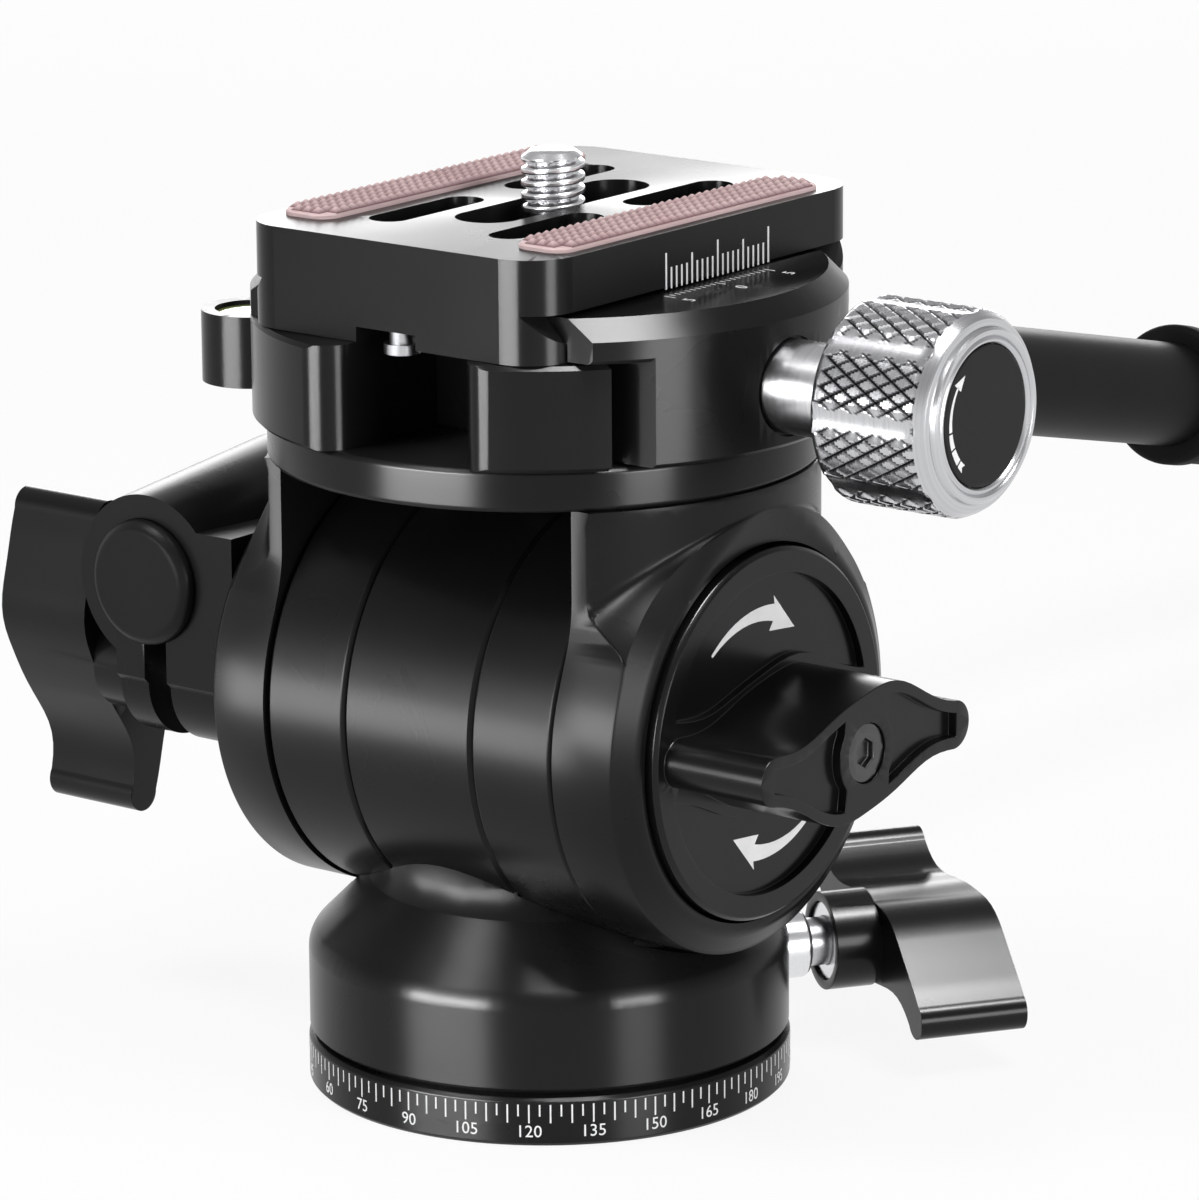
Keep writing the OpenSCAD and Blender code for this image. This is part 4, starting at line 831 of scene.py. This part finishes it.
def makeGrip():
    rearPlace = bendPlace @ Matrix.Translation(bendPoint(bendTurn)) @ Matrix.Rotation(-bendTurn, 4, "Z")
    place = rearPlace @ Matrix.Translation((0, grip["start"], 0)) @ Matrix.Rotation(-math.pi / 2, 4, "X")
    inner, r, low = handle["tubeR"] + grip["fit"], grip["r"], grip["r"] - grip["sink"]
    profile = roundPath([(inner, 0.0, 0), (r, 0.0, grip["endRound"]), (r, grip["lip"], grip["lipRound"]),
                         (low, grip["lip"] + grip["slope"], grip["footRound"]),
                         (low, grip["long"], grip["endRound"]), (inner, grip["long"], 0)])
    bm = lathe(profile, place, grip["turns"], loop=True)
    settle(pieceFrom(bm, "handle_grip_look", "foam"), "handle", "black_rubber", "handle_grip")


makeHandleTube()
makeGrip()
print("handle ready")

# camera screw: slotted head kept from its solid, with a cut thread above the neck
thread = {"r": 3.175, "pitch": 1.27, "deep": 0.62, "cutZ": 89.0, "crown": 0.9, "crownSlope": 1.3,
          "ridge": 1.7, "flank": 3.6, "perTurn": 48, "perPitch": 12, "shade": 30.0}


def makeCameraScrew():
    low, high = boxMm("camera_screw")
    middle = Vector(((low.x + high.x) / 2, (low.y + high.y) / 2, 0))
    s, tall = thread, high.z - thread["cutZ"]
    bm = mergedCopy("camera_screw")
    whole = bm.verts[:] + bm.edges[:] + bm.faces[:]
    cut = bmesh.ops.bisect_plane(bm, geom=whole, plane_co=(0, 0, s["cutZ"] * mm), plane_no=(0, 0, 1),
                                 clear_outer=True)
    bmesh.ops.contextual_create(bm, geom=[g for g in cut["geom_cut"] if isinstance(g, bmesh.types.BMEdge)])
    rows = []
    count = int(tall / s["pitch"] * s["perPitch"])
    for k in range(count + 1):
        z = s["cutZ"] + tall * k / count
        crownR = s["r"] - s["crown"] + (high.z - z) * s["crownSlope"]
        ring = []
        for j in range(s["perTurn"]):
            phase = ((z - s["cutZ"]) / s["pitch"] - j / s["perTurn"]) % 1.0
            ridge = min(1.0, max(0.0, s["ridge"] - s["flank"] * abs(phase - 0.5)))
            r = min(s["r"] - s["deep"] * (1 - ridge), crownR)
            ring.append(middle + Vector((*polar(r, 2 * math.pi * j / s["perTurn"]), z)))
        rows.append(ring)
    joinInto(bm, prism(rows))
    piece = pieceFrom(bm, "camera_screw_look", "chrome", sharp=s["shade"])
    settle(piece, "screw", "polished_steel", "camera_screw")


makeCameraScrew()
print("camera screw ready")

# rubber strips: a slab with rows of small blunt pyramids
strip = {"pitch": 1.22, "tall": 0.52, "crown": 0.12, "inset": 0.5, "edge": 0.15, "corner": 2.0,
         "bed": 0.01, "sides": 64}


def makePyramidTree():
    tree, pins = newTree("pyramidField", {"Length": 0.04, "Width": 0.006, "Pitch": 0.001, "Tall": 0.0006,
                                          "Inset": 0.0003, "Corner": 0.002, "Crown": 0.5})
    field = addNode(tree, "GeometryNodeMeshGrid")
    split = addNode(tree, "ShaderNodeSeparateXYZ")
    tree.links.new(addNode(tree, "GeometryNodeInputPosition").outputs[0], split.inputs[0])
    squares = []
    for i, (axis, size) in enumerate((("X", pins["Width"]), ("Y", pins["Length"]))):
        count = mathNode(tree, "FLOOR", mathNode(tree, "DIVIDE", size, pins["Pitch"]))
        span = mathNode(tree, "MULTIPLY", mathNode(tree, "SUBTRACT", count, 1.0), pins["Pitch"])
        tree.links.new(span, field.inputs["Size " + axis])
        tree.links.new(count, field.inputs["Vertices " + axis])
        straight = mathNode(tree, "SUBTRACT", mathNode(tree, "MULTIPLY", size, 0.5), pins["Corner"])
        over = mathNode(tree, "SUBTRACT", mathNode(tree, "ABSOLUTE", split.outputs[i]), straight)
        past = mathNode(tree, "MAXIMUM", over, 0.0)
        squares.append(mathNode(tree, "MULTIPLY", past, past))
    # no pyramid stands past the slab's rounded corners
    away = mathNode(tree, "SQRT", mathNode(tree, "ADD", *squares))
    limit = mathNode(tree, "SUBTRACT", pins["Corner"], pins["Inset"])
    keep = addNode(tree, "GeometryNodeDeleteGeometry", domain="POINT")
    tree.links.new(field.outputs["Mesh"], keep.inputs["Geometry"])
    tree.links.new(mathNode(tree, "GREATER_THAN", away, limit), keep.inputs["Selection"])
    cone = addNode(tree, "GeometryNodeMeshCone", fill_type="NGON")
    cone.inputs["Vertices"].default_value = 4
    foot = mathNode(tree, "MULTIPLY", pins["Pitch"], math.sqrt(0.5))
    tree.links.new(foot, cone.inputs["Radius Bottom"])
    tree.links.new(mathNode(tree, "MULTIPLY", foot, pins["Crown"]), cone.inputs["Radius Top"])
    tree.links.new(pins["Tall"], cone.inputs["Depth"])
    # the foot of each pyramid is marked as a groove, where the rubber's material paints shade
    mark = addNode(tree, "GeometryNodeStoreNamedAttribute", data_type="FLOAT", domain="POINT")
    mark.inputs["Name"].default_value = "groove"
    height = addNode(tree, "ShaderNodeSeparateXYZ")
    tree.links.new(addNode(tree, "GeometryNodeInputPosition").outputs[0], height.inputs[0])
    share = mathNode(tree, "DIVIDE", height.outputs[2], pins["Tall"])
    tree.links.new(mathNode(tree, "SUBTRACT", 1.0, share), mark.inputs["Value"])
    tree.links.new(cone.outputs["Mesh"], mark.inputs["Geometry"])
    spread = closeTree(tree, pins, keep, mark)
    spread.inputs["Rotation"].default_value = (0.0, 0.0, math.pi / 4)
    return tree


pyramidTree = makePyramidTree()


def makeStrip(node, body):
    low, high = boxMm(node)
    wide, long = high.x - low.x, high.y - low.y
    middle = (low + high) / 2
    edge, slabTop = strip["edge"], high.z - strip["tall"]
    sizes = {key.capitalize(): strip[key] * mm for key in ("pitch", "tall", "inset", "corner")}
    sizes.update(Length=long * mm, Width=wide * mm, Crown=strip["crown"])
    field = growNodes(pyramidTree, node + "_field", "pad", sizes)
    field.data.transform(Matrix.Translation(Vector((middle.x, middle.y, slabTop - strip["bed"])) * mm))
    outline = []
    for k in range(strip["sides"]):
        c, s = polar(1.0, 2 * math.pi * (k + 0.5) / strip["sides"])
        x = middle.x + math.copysign(wide / 2 - strip["corner"], c)
        y = middle.y + math.copysign(long / 2 - strip["corner"], s)
        outline.append((x, y, c, s))
    rows = []
    for shrink, z in ((edge, low.z), (0.0, low.z + edge), (0.0, slabTop - edge), (edge, slabTop)):
        r = strip["corner"] - shrink
        rows.append([(x + r * c, y + r * s, z) for x, y, c, s in outline])
    settle(pieceFrom(prism(rows), node + "_look", "pad"), body, "pink_rubber", node)
    settle(field, body, "pink_rubber")


makeStrip("rubber_strip_left", "plate")
makeStrip("rubber_strip_right", "plate")
print("rubber strips ready")

# printed marks: rows of ticks, numerals and arrows, each a thin solid on the face that carries it
ink = {"proud": 0.03, "lift": 0.012, "arrowLift": 0.01, "shade": 30.0, "curveSteps": 3}


def makeTickTree():
    tree, pins = newTree("tickRow", {"Pitch": 0.001, "Width": 0.0002, "Short": 0.001, "Long": 0.002,
                                     "Longest": 0.002, "Thick": 0.00004}, {"Count": 21, "Every": 5})
    line = addNode(tree, "GeometryNodeMeshLine")
    step = addNode(tree, "ShaderNodeCombineXYZ")
    tree.links.new(pins["Pitch"], step.inputs[0])
    tree.links.new(step.outputs[0], line.inputs["Offset"])
    tree.links.new(pins["Count"], line.inputs["Count"])
    index = addNode(tree, "GeometryNodeInputIndex").outputs[0]
    tall, second = pins["Short"], mathNode(tree, "MULTIPLY", pins["Every"], 2.0)
    for every, less, more in ((pins["Every"], "Short", "Long"), (second, "Long", "Longest")):
        chosen = mathNode(tree, "LESS_THAN", mathNode(tree, "MODULO", index, every), 0.5)
        extra = mathNode(tree, "SUBTRACT", pins[more], pins[less])
        tall = mathNode(tree, "ADD", tall, mathNode(tree, "MULTIPLY", chosen, extra))
    size = addNode(tree, "ShaderNodeCombineXYZ")
    for i, value in enumerate((pins["Width"], tall, pins["Thick"])):
        tree.links.new(value, size.inputs[i])
    drop = addNode(tree, "ShaderNodeCombineXYZ")
    tree.links.new(mathNode(tree, "MULTIPLY", tall, -0.5), drop.inputs[1])
    hang = addNode(tree, "GeometryNodeSetPosition")
    tree.links.new(line.outputs[0], hang.inputs["Geometry"])
    tree.links.new(drop.outputs[0], hang.inputs["Offset"])
    bar = addNode(tree, "GeometryNodeMeshCube")
    bar.inputs["Size"].default_value = (1, 1, 1)
    spread = closeTree(tree, pins, hang, bar)
    tree.links.new(size.outputs[0], spread.inputs["Scale"])
    return tree


tickTree = makeTickTree()


def bendOnto(mesh, mapPoint):
    for v in mesh.vertices:
        v.co = mapPoint(*(v.co / mm)) * mm
    mesh.update()


def printTicks(name, body, s, mapPoint, flip=False):
    sizes = {key.capitalize(): s[key] * mm for key in ("pitch", "width", "short", "long", "longest")}
    sizes.update(Thick=ink["proud"] * mm, Count=s["count"], Every=s["every"])
    row = growNodes(tickTree, name, "print", sizes)
    bendOnto(row.data, mapPoint)
    if flip:
        row.data.flip_normals()
    settle(row, body, None)


def numeral(word, size):
    curve = bpy.data.curves.new("numeral", "FONT")
    curve.body, curve.size, curve.extrude = word, size * mm, ink["proud"] * mm / 2
    curve.align_x, curve.align_y, curve.resolution_u = "CENTER", "CENTER", ink["curveSteps"]
    holder = bpy.data.objects.new("numeral", curve)
    scene.collection.objects.link(holder)
    mesh = evaluatedMesh(holder)
    bpy.data.objects.remove(holder)
    bpy.data.curves.remove(curve)
    return mesh


def printNumbers(name, body, size, marks):
    # marks are (word, where its points go)
    bm = bmesh.new()
    for word, mapPoint in marks:
        mesh = numeral(word, size)
        bendOnto(mesh, mapPoint)
        bm.from_mesh(mesh)
    settle(pieceFrom(merge(bm, weld["print"]), name, "print", sharp=ink["shade"]), body, None)


# degree scale round the base: a tick each 2.5 degrees, a number each 15
degrees = {"tickTop": 4.37, "count": 144, "every": 2, "short": 1.2, "long": 1.9, "longest": 1.9,
           "width": 0.16, "numberZ": 1.55, "numberStep": 15, "size": 1.75, "zero": -176.68}


def makeDegreeScale():
    radius = boxMm("base_disc")[1].x + ink["lift"]

    def roundBase(top, start):
        def place(x, y, z):
            return Vector((*polar(radius + z, math.radians(start) + x / radius), top + y))
        return place

    ticks = {**degrees, "pitch": 2 * math.pi * radius / degrees["count"]}
    printTicks("degreeTicks", "base", ticks, roundBase(degrees["tickTop"], degrees["zero"]))
    marks = []
    for value in range(0, 360, degrees["numberStep"]):
        marks.append((str(value), roundBase(degrees["numberZ"], degrees["zero"] + value)))
    printNumbers("degreeNumbers", "base", degrees["size"], marks)


makeDegreeScale()

# plate and jaw scales
plateScale = {"first": -4.84, "pitch": 0.832, "low": 84.2, "short": 2.1, "long": 3.0, "longest": 3.6,
              "width": 0.25, "count": 21, "every": 5}
jawScale = {"first": -6.7, "pitch": 0.81, "edge": 20.2, "short": 0.7, "long": 1.3, "longest": 1.3,
            "width": 0.14, "count": 21, "every": 10, "size": 1.9,
            "numbers": (("5", 23.3, -6.7), ("0", 23.6, 1.25), ("5", 23.3, 9.5))}


def makePlateScale():
    side = boxMm("qr_plate")[1].x + ink["lift"]

    def onSide(x, y, z):
        return Vector((side + z, plateScale["first"] + x, plateScale["low"] - y))

    printTicks("plateTicks", "plate", plateScale, onSide, flip=True)


def makeJawScale():
    top = boxMm("clamp_jaw")[1].z + ink["lift"]

    def onTop(startX, startY):
        return lambda x, y, z: Vector((startX - y, startY + x, top + z))

    printTicks("jawTicks", "jaw", jawScale, onTop(jawScale["edge"], jawScale["first"]))
    marks = [(word, onTop(x, y)) for word, x, y in jawScale["numbers"]]
    printNumbers("jawNumbers", "jaw", jawScale["size"], marks)


makePlateScale()
makeJawScale()
print("scales printed")

# tilt lock knob: its solid with two pockets in the wing's outer face, and an arrow in each hollow
lockWing = {"half": 17.3, "mid": 6.0, "tip": 2.4, "bow": 0.8, "spanThick": 0.55, "spanBow": 0.72,
            "inset": 1.25, "pocket": 1.0, "bossR": 4.5, "near": 3.6, "far": 15.2, "over": 2.0,
            "edgeSteps": 14, "bossSteps": 8, "edge": 0.5, "edgeFrom": 30.0, "segments": 3, "shade": 40.0}
lockArrow = {"tail": 131.7, "neck": 82.0, "tip": 62.5, "tailR": 12.7, "bandR": 12.0, "tipR": 11.0,
             "thin": 0.16, "thick": 0.86, "headOut": 13.7, "headIn": 10.2, "barbOut": 1.0, "barbIn": 3.0,
             "floorX": 27.1, "steps": 12}


def wingEdge(t, sign):
    s = lockWing
    line = s["bow"] * math.sin(math.pi * t / (s["half"] * s["spanBow"]))
    thick = s["tip"] + (s["mid"] - s["tip"]) * math.exp(-(abs(t) / (s["half"] * s["spanThick"])) ** 3)
    return line + sign * (thick - s["inset"])


def makeLockKnob():
    s = lockWing
    rough = pieceFrom(mergedCopy("tilt_lock_knob"), "tilt_lock_knob_look", "gloss")
    top = boxMm("tilt_lock_knob")[1].x
    along = [s["near"] + (s["far"] - s["near"]) * k / s["edgeSteps"] for k in range(s["edgeSteps"] + 1)]
    ring = [(t, wingEdge(t, 1)) for t in along] + [(t, wingEdge(t, -1)) for t in reversed(along)]
    first, last = math.atan2(ring[-1][1], ring[-1][0]), math.atan2(ring[0][1], ring[0][0])
    for k in range(1, s["bossSteps"]):
        ring.append(polar(s["bossR"], first + (last - first) * k / s["bossSteps"]))
    for turn in (1, -1):
        heights = (top - s["pocket"], top + s["over"])
        cutWith(rough, prism([[(x, turn * y, tiltZ + turn * z) for y, z in ring] for x in heights]))
    bm = takeMesh(rough)
    breakEdges(bm, s["edge"], s["edgeFrom"], s["segments"])
    piece = pieceFrom(bm, "tilt_lock_knob_look", "gloss", sharp=s["shade"], weighted=True)
    settle(piece, "tilt_lock", "gloss_black", "tilt_lock_knob")


def arcPoint(r, degree):
    return polar(r, math.radians(degree))


def taperedArc(sweep, radii, halves, steps):
    # both edges of a band, whose place and half width change evenly from end to end
    outer, inner = [], []
    for k in range(steps + 1):
        degree, middle, half = (a + (b - a) * (k / steps) for a, b in (sweep, radii, halves))
        outer.append(arcPoint(middle + half, degree))
        inner.append(arcPoint(middle - half, degree))
    return outer, inner[::-1]


def flatShape(points):
    # a thin solid from an outline in the local plane
    bm = bmesh.new()
    face = bm.faces.new([bm.verts.new(Vector((x, y, -ink["proud"] / 2)) * mm) for x, y in points])
    grown = bmesh.ops.extrude_face_region(bm, geom=[face])
    raised = [g for g in grown["geom"] if isinstance(g, bmesh.types.BMVert)]
    bmesh.ops.translate(bm, vec=(0, 0, ink["proud"] * mm), verts=raised)
    faceOut(bm)
    bmesh.ops.triangulate(bm, faces=[f for f in bm.faces if len(f.verts) > 4])
    return bm


def printArrow(name, body, bm, faceX, axisZ, turn=1):
    # from the local plane to a face that looks along +X
    for v in bm.verts:
        x = faceX * mm + v.co.z + ink["arrowLift"] * mm
        v.co = Vector((x, turn * v.co.x, axisZ * mm + turn * v.co.y))
    settle(pieceFrom(faceOut(bm), name, "print", sharp=ink["shade"]), body, None)


def makeLockArrows():
    s = lockArrow
    sweep, radii, halves = (s["tail"], s["neck"]), (s["tailR"], s["bandR"]), (s["thin"], s["thick"])
    outer, inner = taperedArc(sweep, radii, halves, s["steps"])
    head = [arcPoint(s["headOut"], s["neck"] + s["barbOut"]), arcPoint(s["tipR"], s["tip"]),
            arcPoint(s["headIn"], s["neck"] + s["barbIn"])]
    for name, turn in (("lockArrowUpper", 1), ("lockArrowLower", -1)):
        printArrow(name, "tilt_lock", flatShape(outer + head + inner), s["floorX"], tiltZ, turn)


makeLockKnob()
makeLockArrows()

# turning arrow on the clamp knob's end disc, in dashes of (start, stop, half width at start, at stop)
discArrow = {"dashes": ((231, 222, 0.42, 0.36), (220, 205, 0.36, 0.32), (203, 188, 0.32, 0.26),
                        (186, 142, 0.24, 0.12)),
             "r": 5.75, "steps": 8, "notch": 3.0, "headBase": 143.0, "headHalf": 0.62, "tip": 127.0,
             "tipIn": 0.1}


def makeDiscArrow():
    s = discArrow
    whole = bmesh.new()
    for k, (start, stop, wide, slim) in enumerate(s["dashes"]):
        outer, inner = taperedArc((start, stop), (s["r"], s["r"]), (wide, slim), s["steps"])
        notch = [arcPoint(s["r"], start - s["notch"])] if k == 0 else []
        joinInto(whole, flatShape(outer + inner + notch))
    head = [arcPoint(s["r"] + s["headHalf"], s["headBase"]), arcPoint(s["r"] - s["tipIn"], s["tip"]),
            arcPoint(s["r"] - s["headHalf"], s["headBase"])]
    joinInto(whole, flatShape(head))
    printArrow("discArrow", "knob", whole, boxMm("clamp_knob_disc")[1].x, studZ)


makeDiscArrow()
print("lock knob and arrows ready")

# round level: a low dome of green glass
level = {"dome": 0.35, "edge": 0.2, "wall": 0.1, "arc": (0.25, 0.5, 0.8, 1.1, 1.35), "turns": 64}


def makeLevel():
    low, high = boxMm("level_vial")
    middle = Matrix.Translation(((low.x + high.x) / 2, (low.y + high.y) / 2, 0))
    r, edge, shoulder = (high.x - low.x) / 2, level["edge"], high.z - level["dome"]
    lens = [(0, low.z), (r - edge, low.z), (r, low.z + edge), (r, shoulder - level["wall"])]
    lens += [(r * math.cos(t), shoulder + level["dome"] * math.sin(t)) for t in level["arc"]]
    bm = lathe(lens + [(0, high.z)], middle, level["turns"])
    settle(pieceFrom(bm, "level_vial_look", "vial"), "yoke", "vial", "level_vial")


makeLevel()
print("level ready")

# camera, light and floor
scene.view_settings.view_transform = "Standard"
view = {"azimuth": 37.852, "elevation": 14.284, "roll": -0.404, "shift": (-5.037, -47.858, 660.8),
        "lens": 193.98, "sensor": 36.0, "near": 0.01, "far": 100.0}


def makeEye():
    a, e, roll = (math.radians(view[key]) for key in ("azimuth", "elevation", "roll"))
    plainRight = Vector((math.cos(a), math.sin(a), 0))
    plainUp = Vector((-math.sin(a) * math.sin(e), math.cos(a) * math.sin(e), math.cos(e)))
    back = Vector((math.sin(a) * math.cos(e), -math.cos(a) * math.cos(e), math.sin(e)))
    right = plainRight * math.cos(roll) + plainUp * math.sin(roll)
    up = plainUp * math.cos(roll) - plainRight * math.sin(roll)
    x, y, z = view["shift"]
    place = Matrix.Translation(-(right * x + up * y - back * z) * mm)
    eye = bpy.data.objects.new("eye", bpy.data.cameras.new("eye"))
    eye.data.lens, eye.data.sensor_width = view["lens"], view["sensor"]
    eye.data.clip_start, eye.data.clip_end = view["near"], view["far"]
    eye.matrix_world = place @ Matrix((right, up, back)).transposed().to_4x4()
    scene.collection.objects.link(eye)
    scene.camera = eye


makeEye()

lamps = {  # name: (place, aim, width, height, watts)
    "topBox": ((0.33, 0.05, 0.78), (0.0, 0.0, 0.05), 0.35, 0.35, 2.8),
    "keyBox": ((-0.22, -0.34, 0.80), (0.0, 0.0, 0.06), 0.25, 0.25, 3.0),
    "backBox": ((-0.72, 0.93, 0.33), (0.0, 0.0, 0.08), 0.74, 0.44, 4.8),
    "leftBox": ((-0.141, -0.787, 0.135), (0.0, 0.0, 0.135), 0.60, 0.26, 2.5),
    "rightBox": ((0.787, -0.141, 0.135), (0.0, 0.0, 0.135), 0.30, 0.26, 2.6),
}
# cards that only the gloss of some black pieces shows, so that the level of the light stays plain
turned = ("base_disc", "pan_body", "top_disc", "clamp_body", "clamp_jaw", "qr_plate")
wings = ("pan_lock_wing", "tilt_lock_knob")
cheeks = ("cheek_left", "cheek_right")
barrel = ("pan_drum", "drum_cap_left", "drum_cap_right") + cheeks
leftPieces = turned + wings + barrel + ("handle_lock_wing", "handle_bracket")
cards = {  # name: (place, aim, width, height, watts, pieces that show it)
    "leftCard": ((-0.142, -0.792, 0.135), (0.0, 0.0, 0.135), 0.60, 0.26, 8.0, leftPieces),
    "turnedCard": ((-0.143, -0.797, 0.135), (0.0, 0.0, 0.135), 0.56, 0.26, 36.0, turned),
    "rightCard": ((0.792, -0.142, 0.135), (0.0, 0.0, 0.135), 0.28, 0.26, 9.0, turned),
    "topCard": ((0.25, -0.02, 0.88), (0.0, 0.0, 0.06), 0.42, 0.40, 34.0, turned + wings),
    "drumCard": ((-0.0985, -0.126, 0.022), (0.0, 0.0, 0.03), 0.10, 0.042, 0.20, barrel),
    "blendCard": ((0.23, -0.55, 0.65), (0.02, -0.02, 0.055), 0.20, 0.20, 3.8, cheeks),
}


def placeLamp(name, place, aim, wide, tall, watts):
    lamp = bpy.data.objects.new(name, bpy.data.lights.new(name, "AREA"))
    lamp.data.shape, lamp.data.size, lamp.data.size_y, lamp.data.energy = "RECTANGLE", wide, tall, watts
    lamp.location = place
    lamp.rotation_euler = (Vector(aim) - Vector(place)).to_track_quat("-Z", "Y").to_euler()
    scene.collection.objects.link(lamp)
    return lamp


for name, values in lamps.items():
    placeLamp(name, *values)
for name, (*values, shown) in cards.items():
    card = placeLamp(name, *values)
    card.visible_diffuse = False
    card.light_linking.receiver_collection = bpy.data.collections.new(name)
    for node in shown:
        card.light_linking.receiver_collection.objects.link(bpy.data.objects[node + "_look"])


def seenRays(tree):
    # 1 for what the camera sees, straight, in a gloss or through glass
    path = addNode(tree, "ShaderNodeLightPath").outputs
    mirrored = mathNode(tree, "MAXIMUM", path["Is Glossy Ray"], path["Is Transmission Ray"])
    return mathNode(tree, "MAXIMUM", path["Is Camera Ray"], mirrored)


# white round the horizon and dimmer overhead, and a fifth as strong for the light that it sheds
studio = {"shed": 0.20, "ceiling": 0.42, "fade": (0.05, 0.5)}


def makeWorld():
    world = bpy.data.worlds.new("whiteStudio")
    scene.world = world
    world.use_nodes = True
    tree = world.node_tree
    sky = tree.nodes["Background"]
    place = addNode(tree, "ShaderNodeTexCoord")
    split = addNode(tree, "ShaderNodeSeparateXYZ")
    tree.links.new(place.outputs["Generated"], split.inputs[0])
    colour = colourRamp(tree, split.outputs[2], (1, 1, 1), (studio["ceiling"],) * 3, studio["fade"])
    tree.links.new(colour, sky.inputs["Color"])
    seen = mathNode(tree, "MULTIPLY", seenRays(tree), 1.0 - studio["shed"])
    tree.links.new(mathNode(tree, "ADD", seen, studio["shed"]), sky.inputs["Strength"])


paper = {"half": 4000, "grain": 900.0, "cloud": 8.0, "rough": 0.95, "specular": 0.1, "glow": 0.9,
         "dark": (0.90, 0.90, 0.90), "light": (0.93, 0.93, 0.93)}


def makeFloor():
    # paper that keeps the shadow, and is nearly white to what the camera sees
    far = paper["half"]
    sheet = faceOut(gridMesh([[(x, -far, 0), (x, far, 0)] for x in (-far, far)]))
    data = bpy.data.meshes.new("floor")
    sheet.to_mesh(data)
    sheet.free()
    floor = bpy.data.objects.new("floor", data)
    scene.collection.objects.link(floor)
    mat, tree, shader = newMaterial("whitePaperFloor")
    grain = placeGroup(tree, grainGroup, Scale=paper["grain"], Cloud_Scale=paper["cloud"])
    colour = colourRamp(tree, grain.outputs["Cloud"], paper["dark"], paper["light"])
    tree.links.new(colour, shader.inputs["Base Color"])
    shader.inputs["Roughness"].default_value = paper["rough"]
    shader.inputs["Specular IOR Level"].default_value = paper["specular"]
    glow = addNode(tree, "ShaderNodeEmission")
    mix = addNode(tree, "ShaderNodeMixShader")
    tree.links.new(mathNode(tree, "MULTIPLY", seenRays(tree), paper["glow"]), mix.inputs[0])
    tree.links.new(shader.outputs[0], mix.inputs[1])
    tree.links.new(glow.outputs[0], mix.inputs[2])
    tree.links.new(mix.outputs[0], tree.nodes["Material Output"].inputs["Surface"])
    data.materials.append(mat)


makeWorld()
makeFloor()
print("camera, lamps, floor ready")
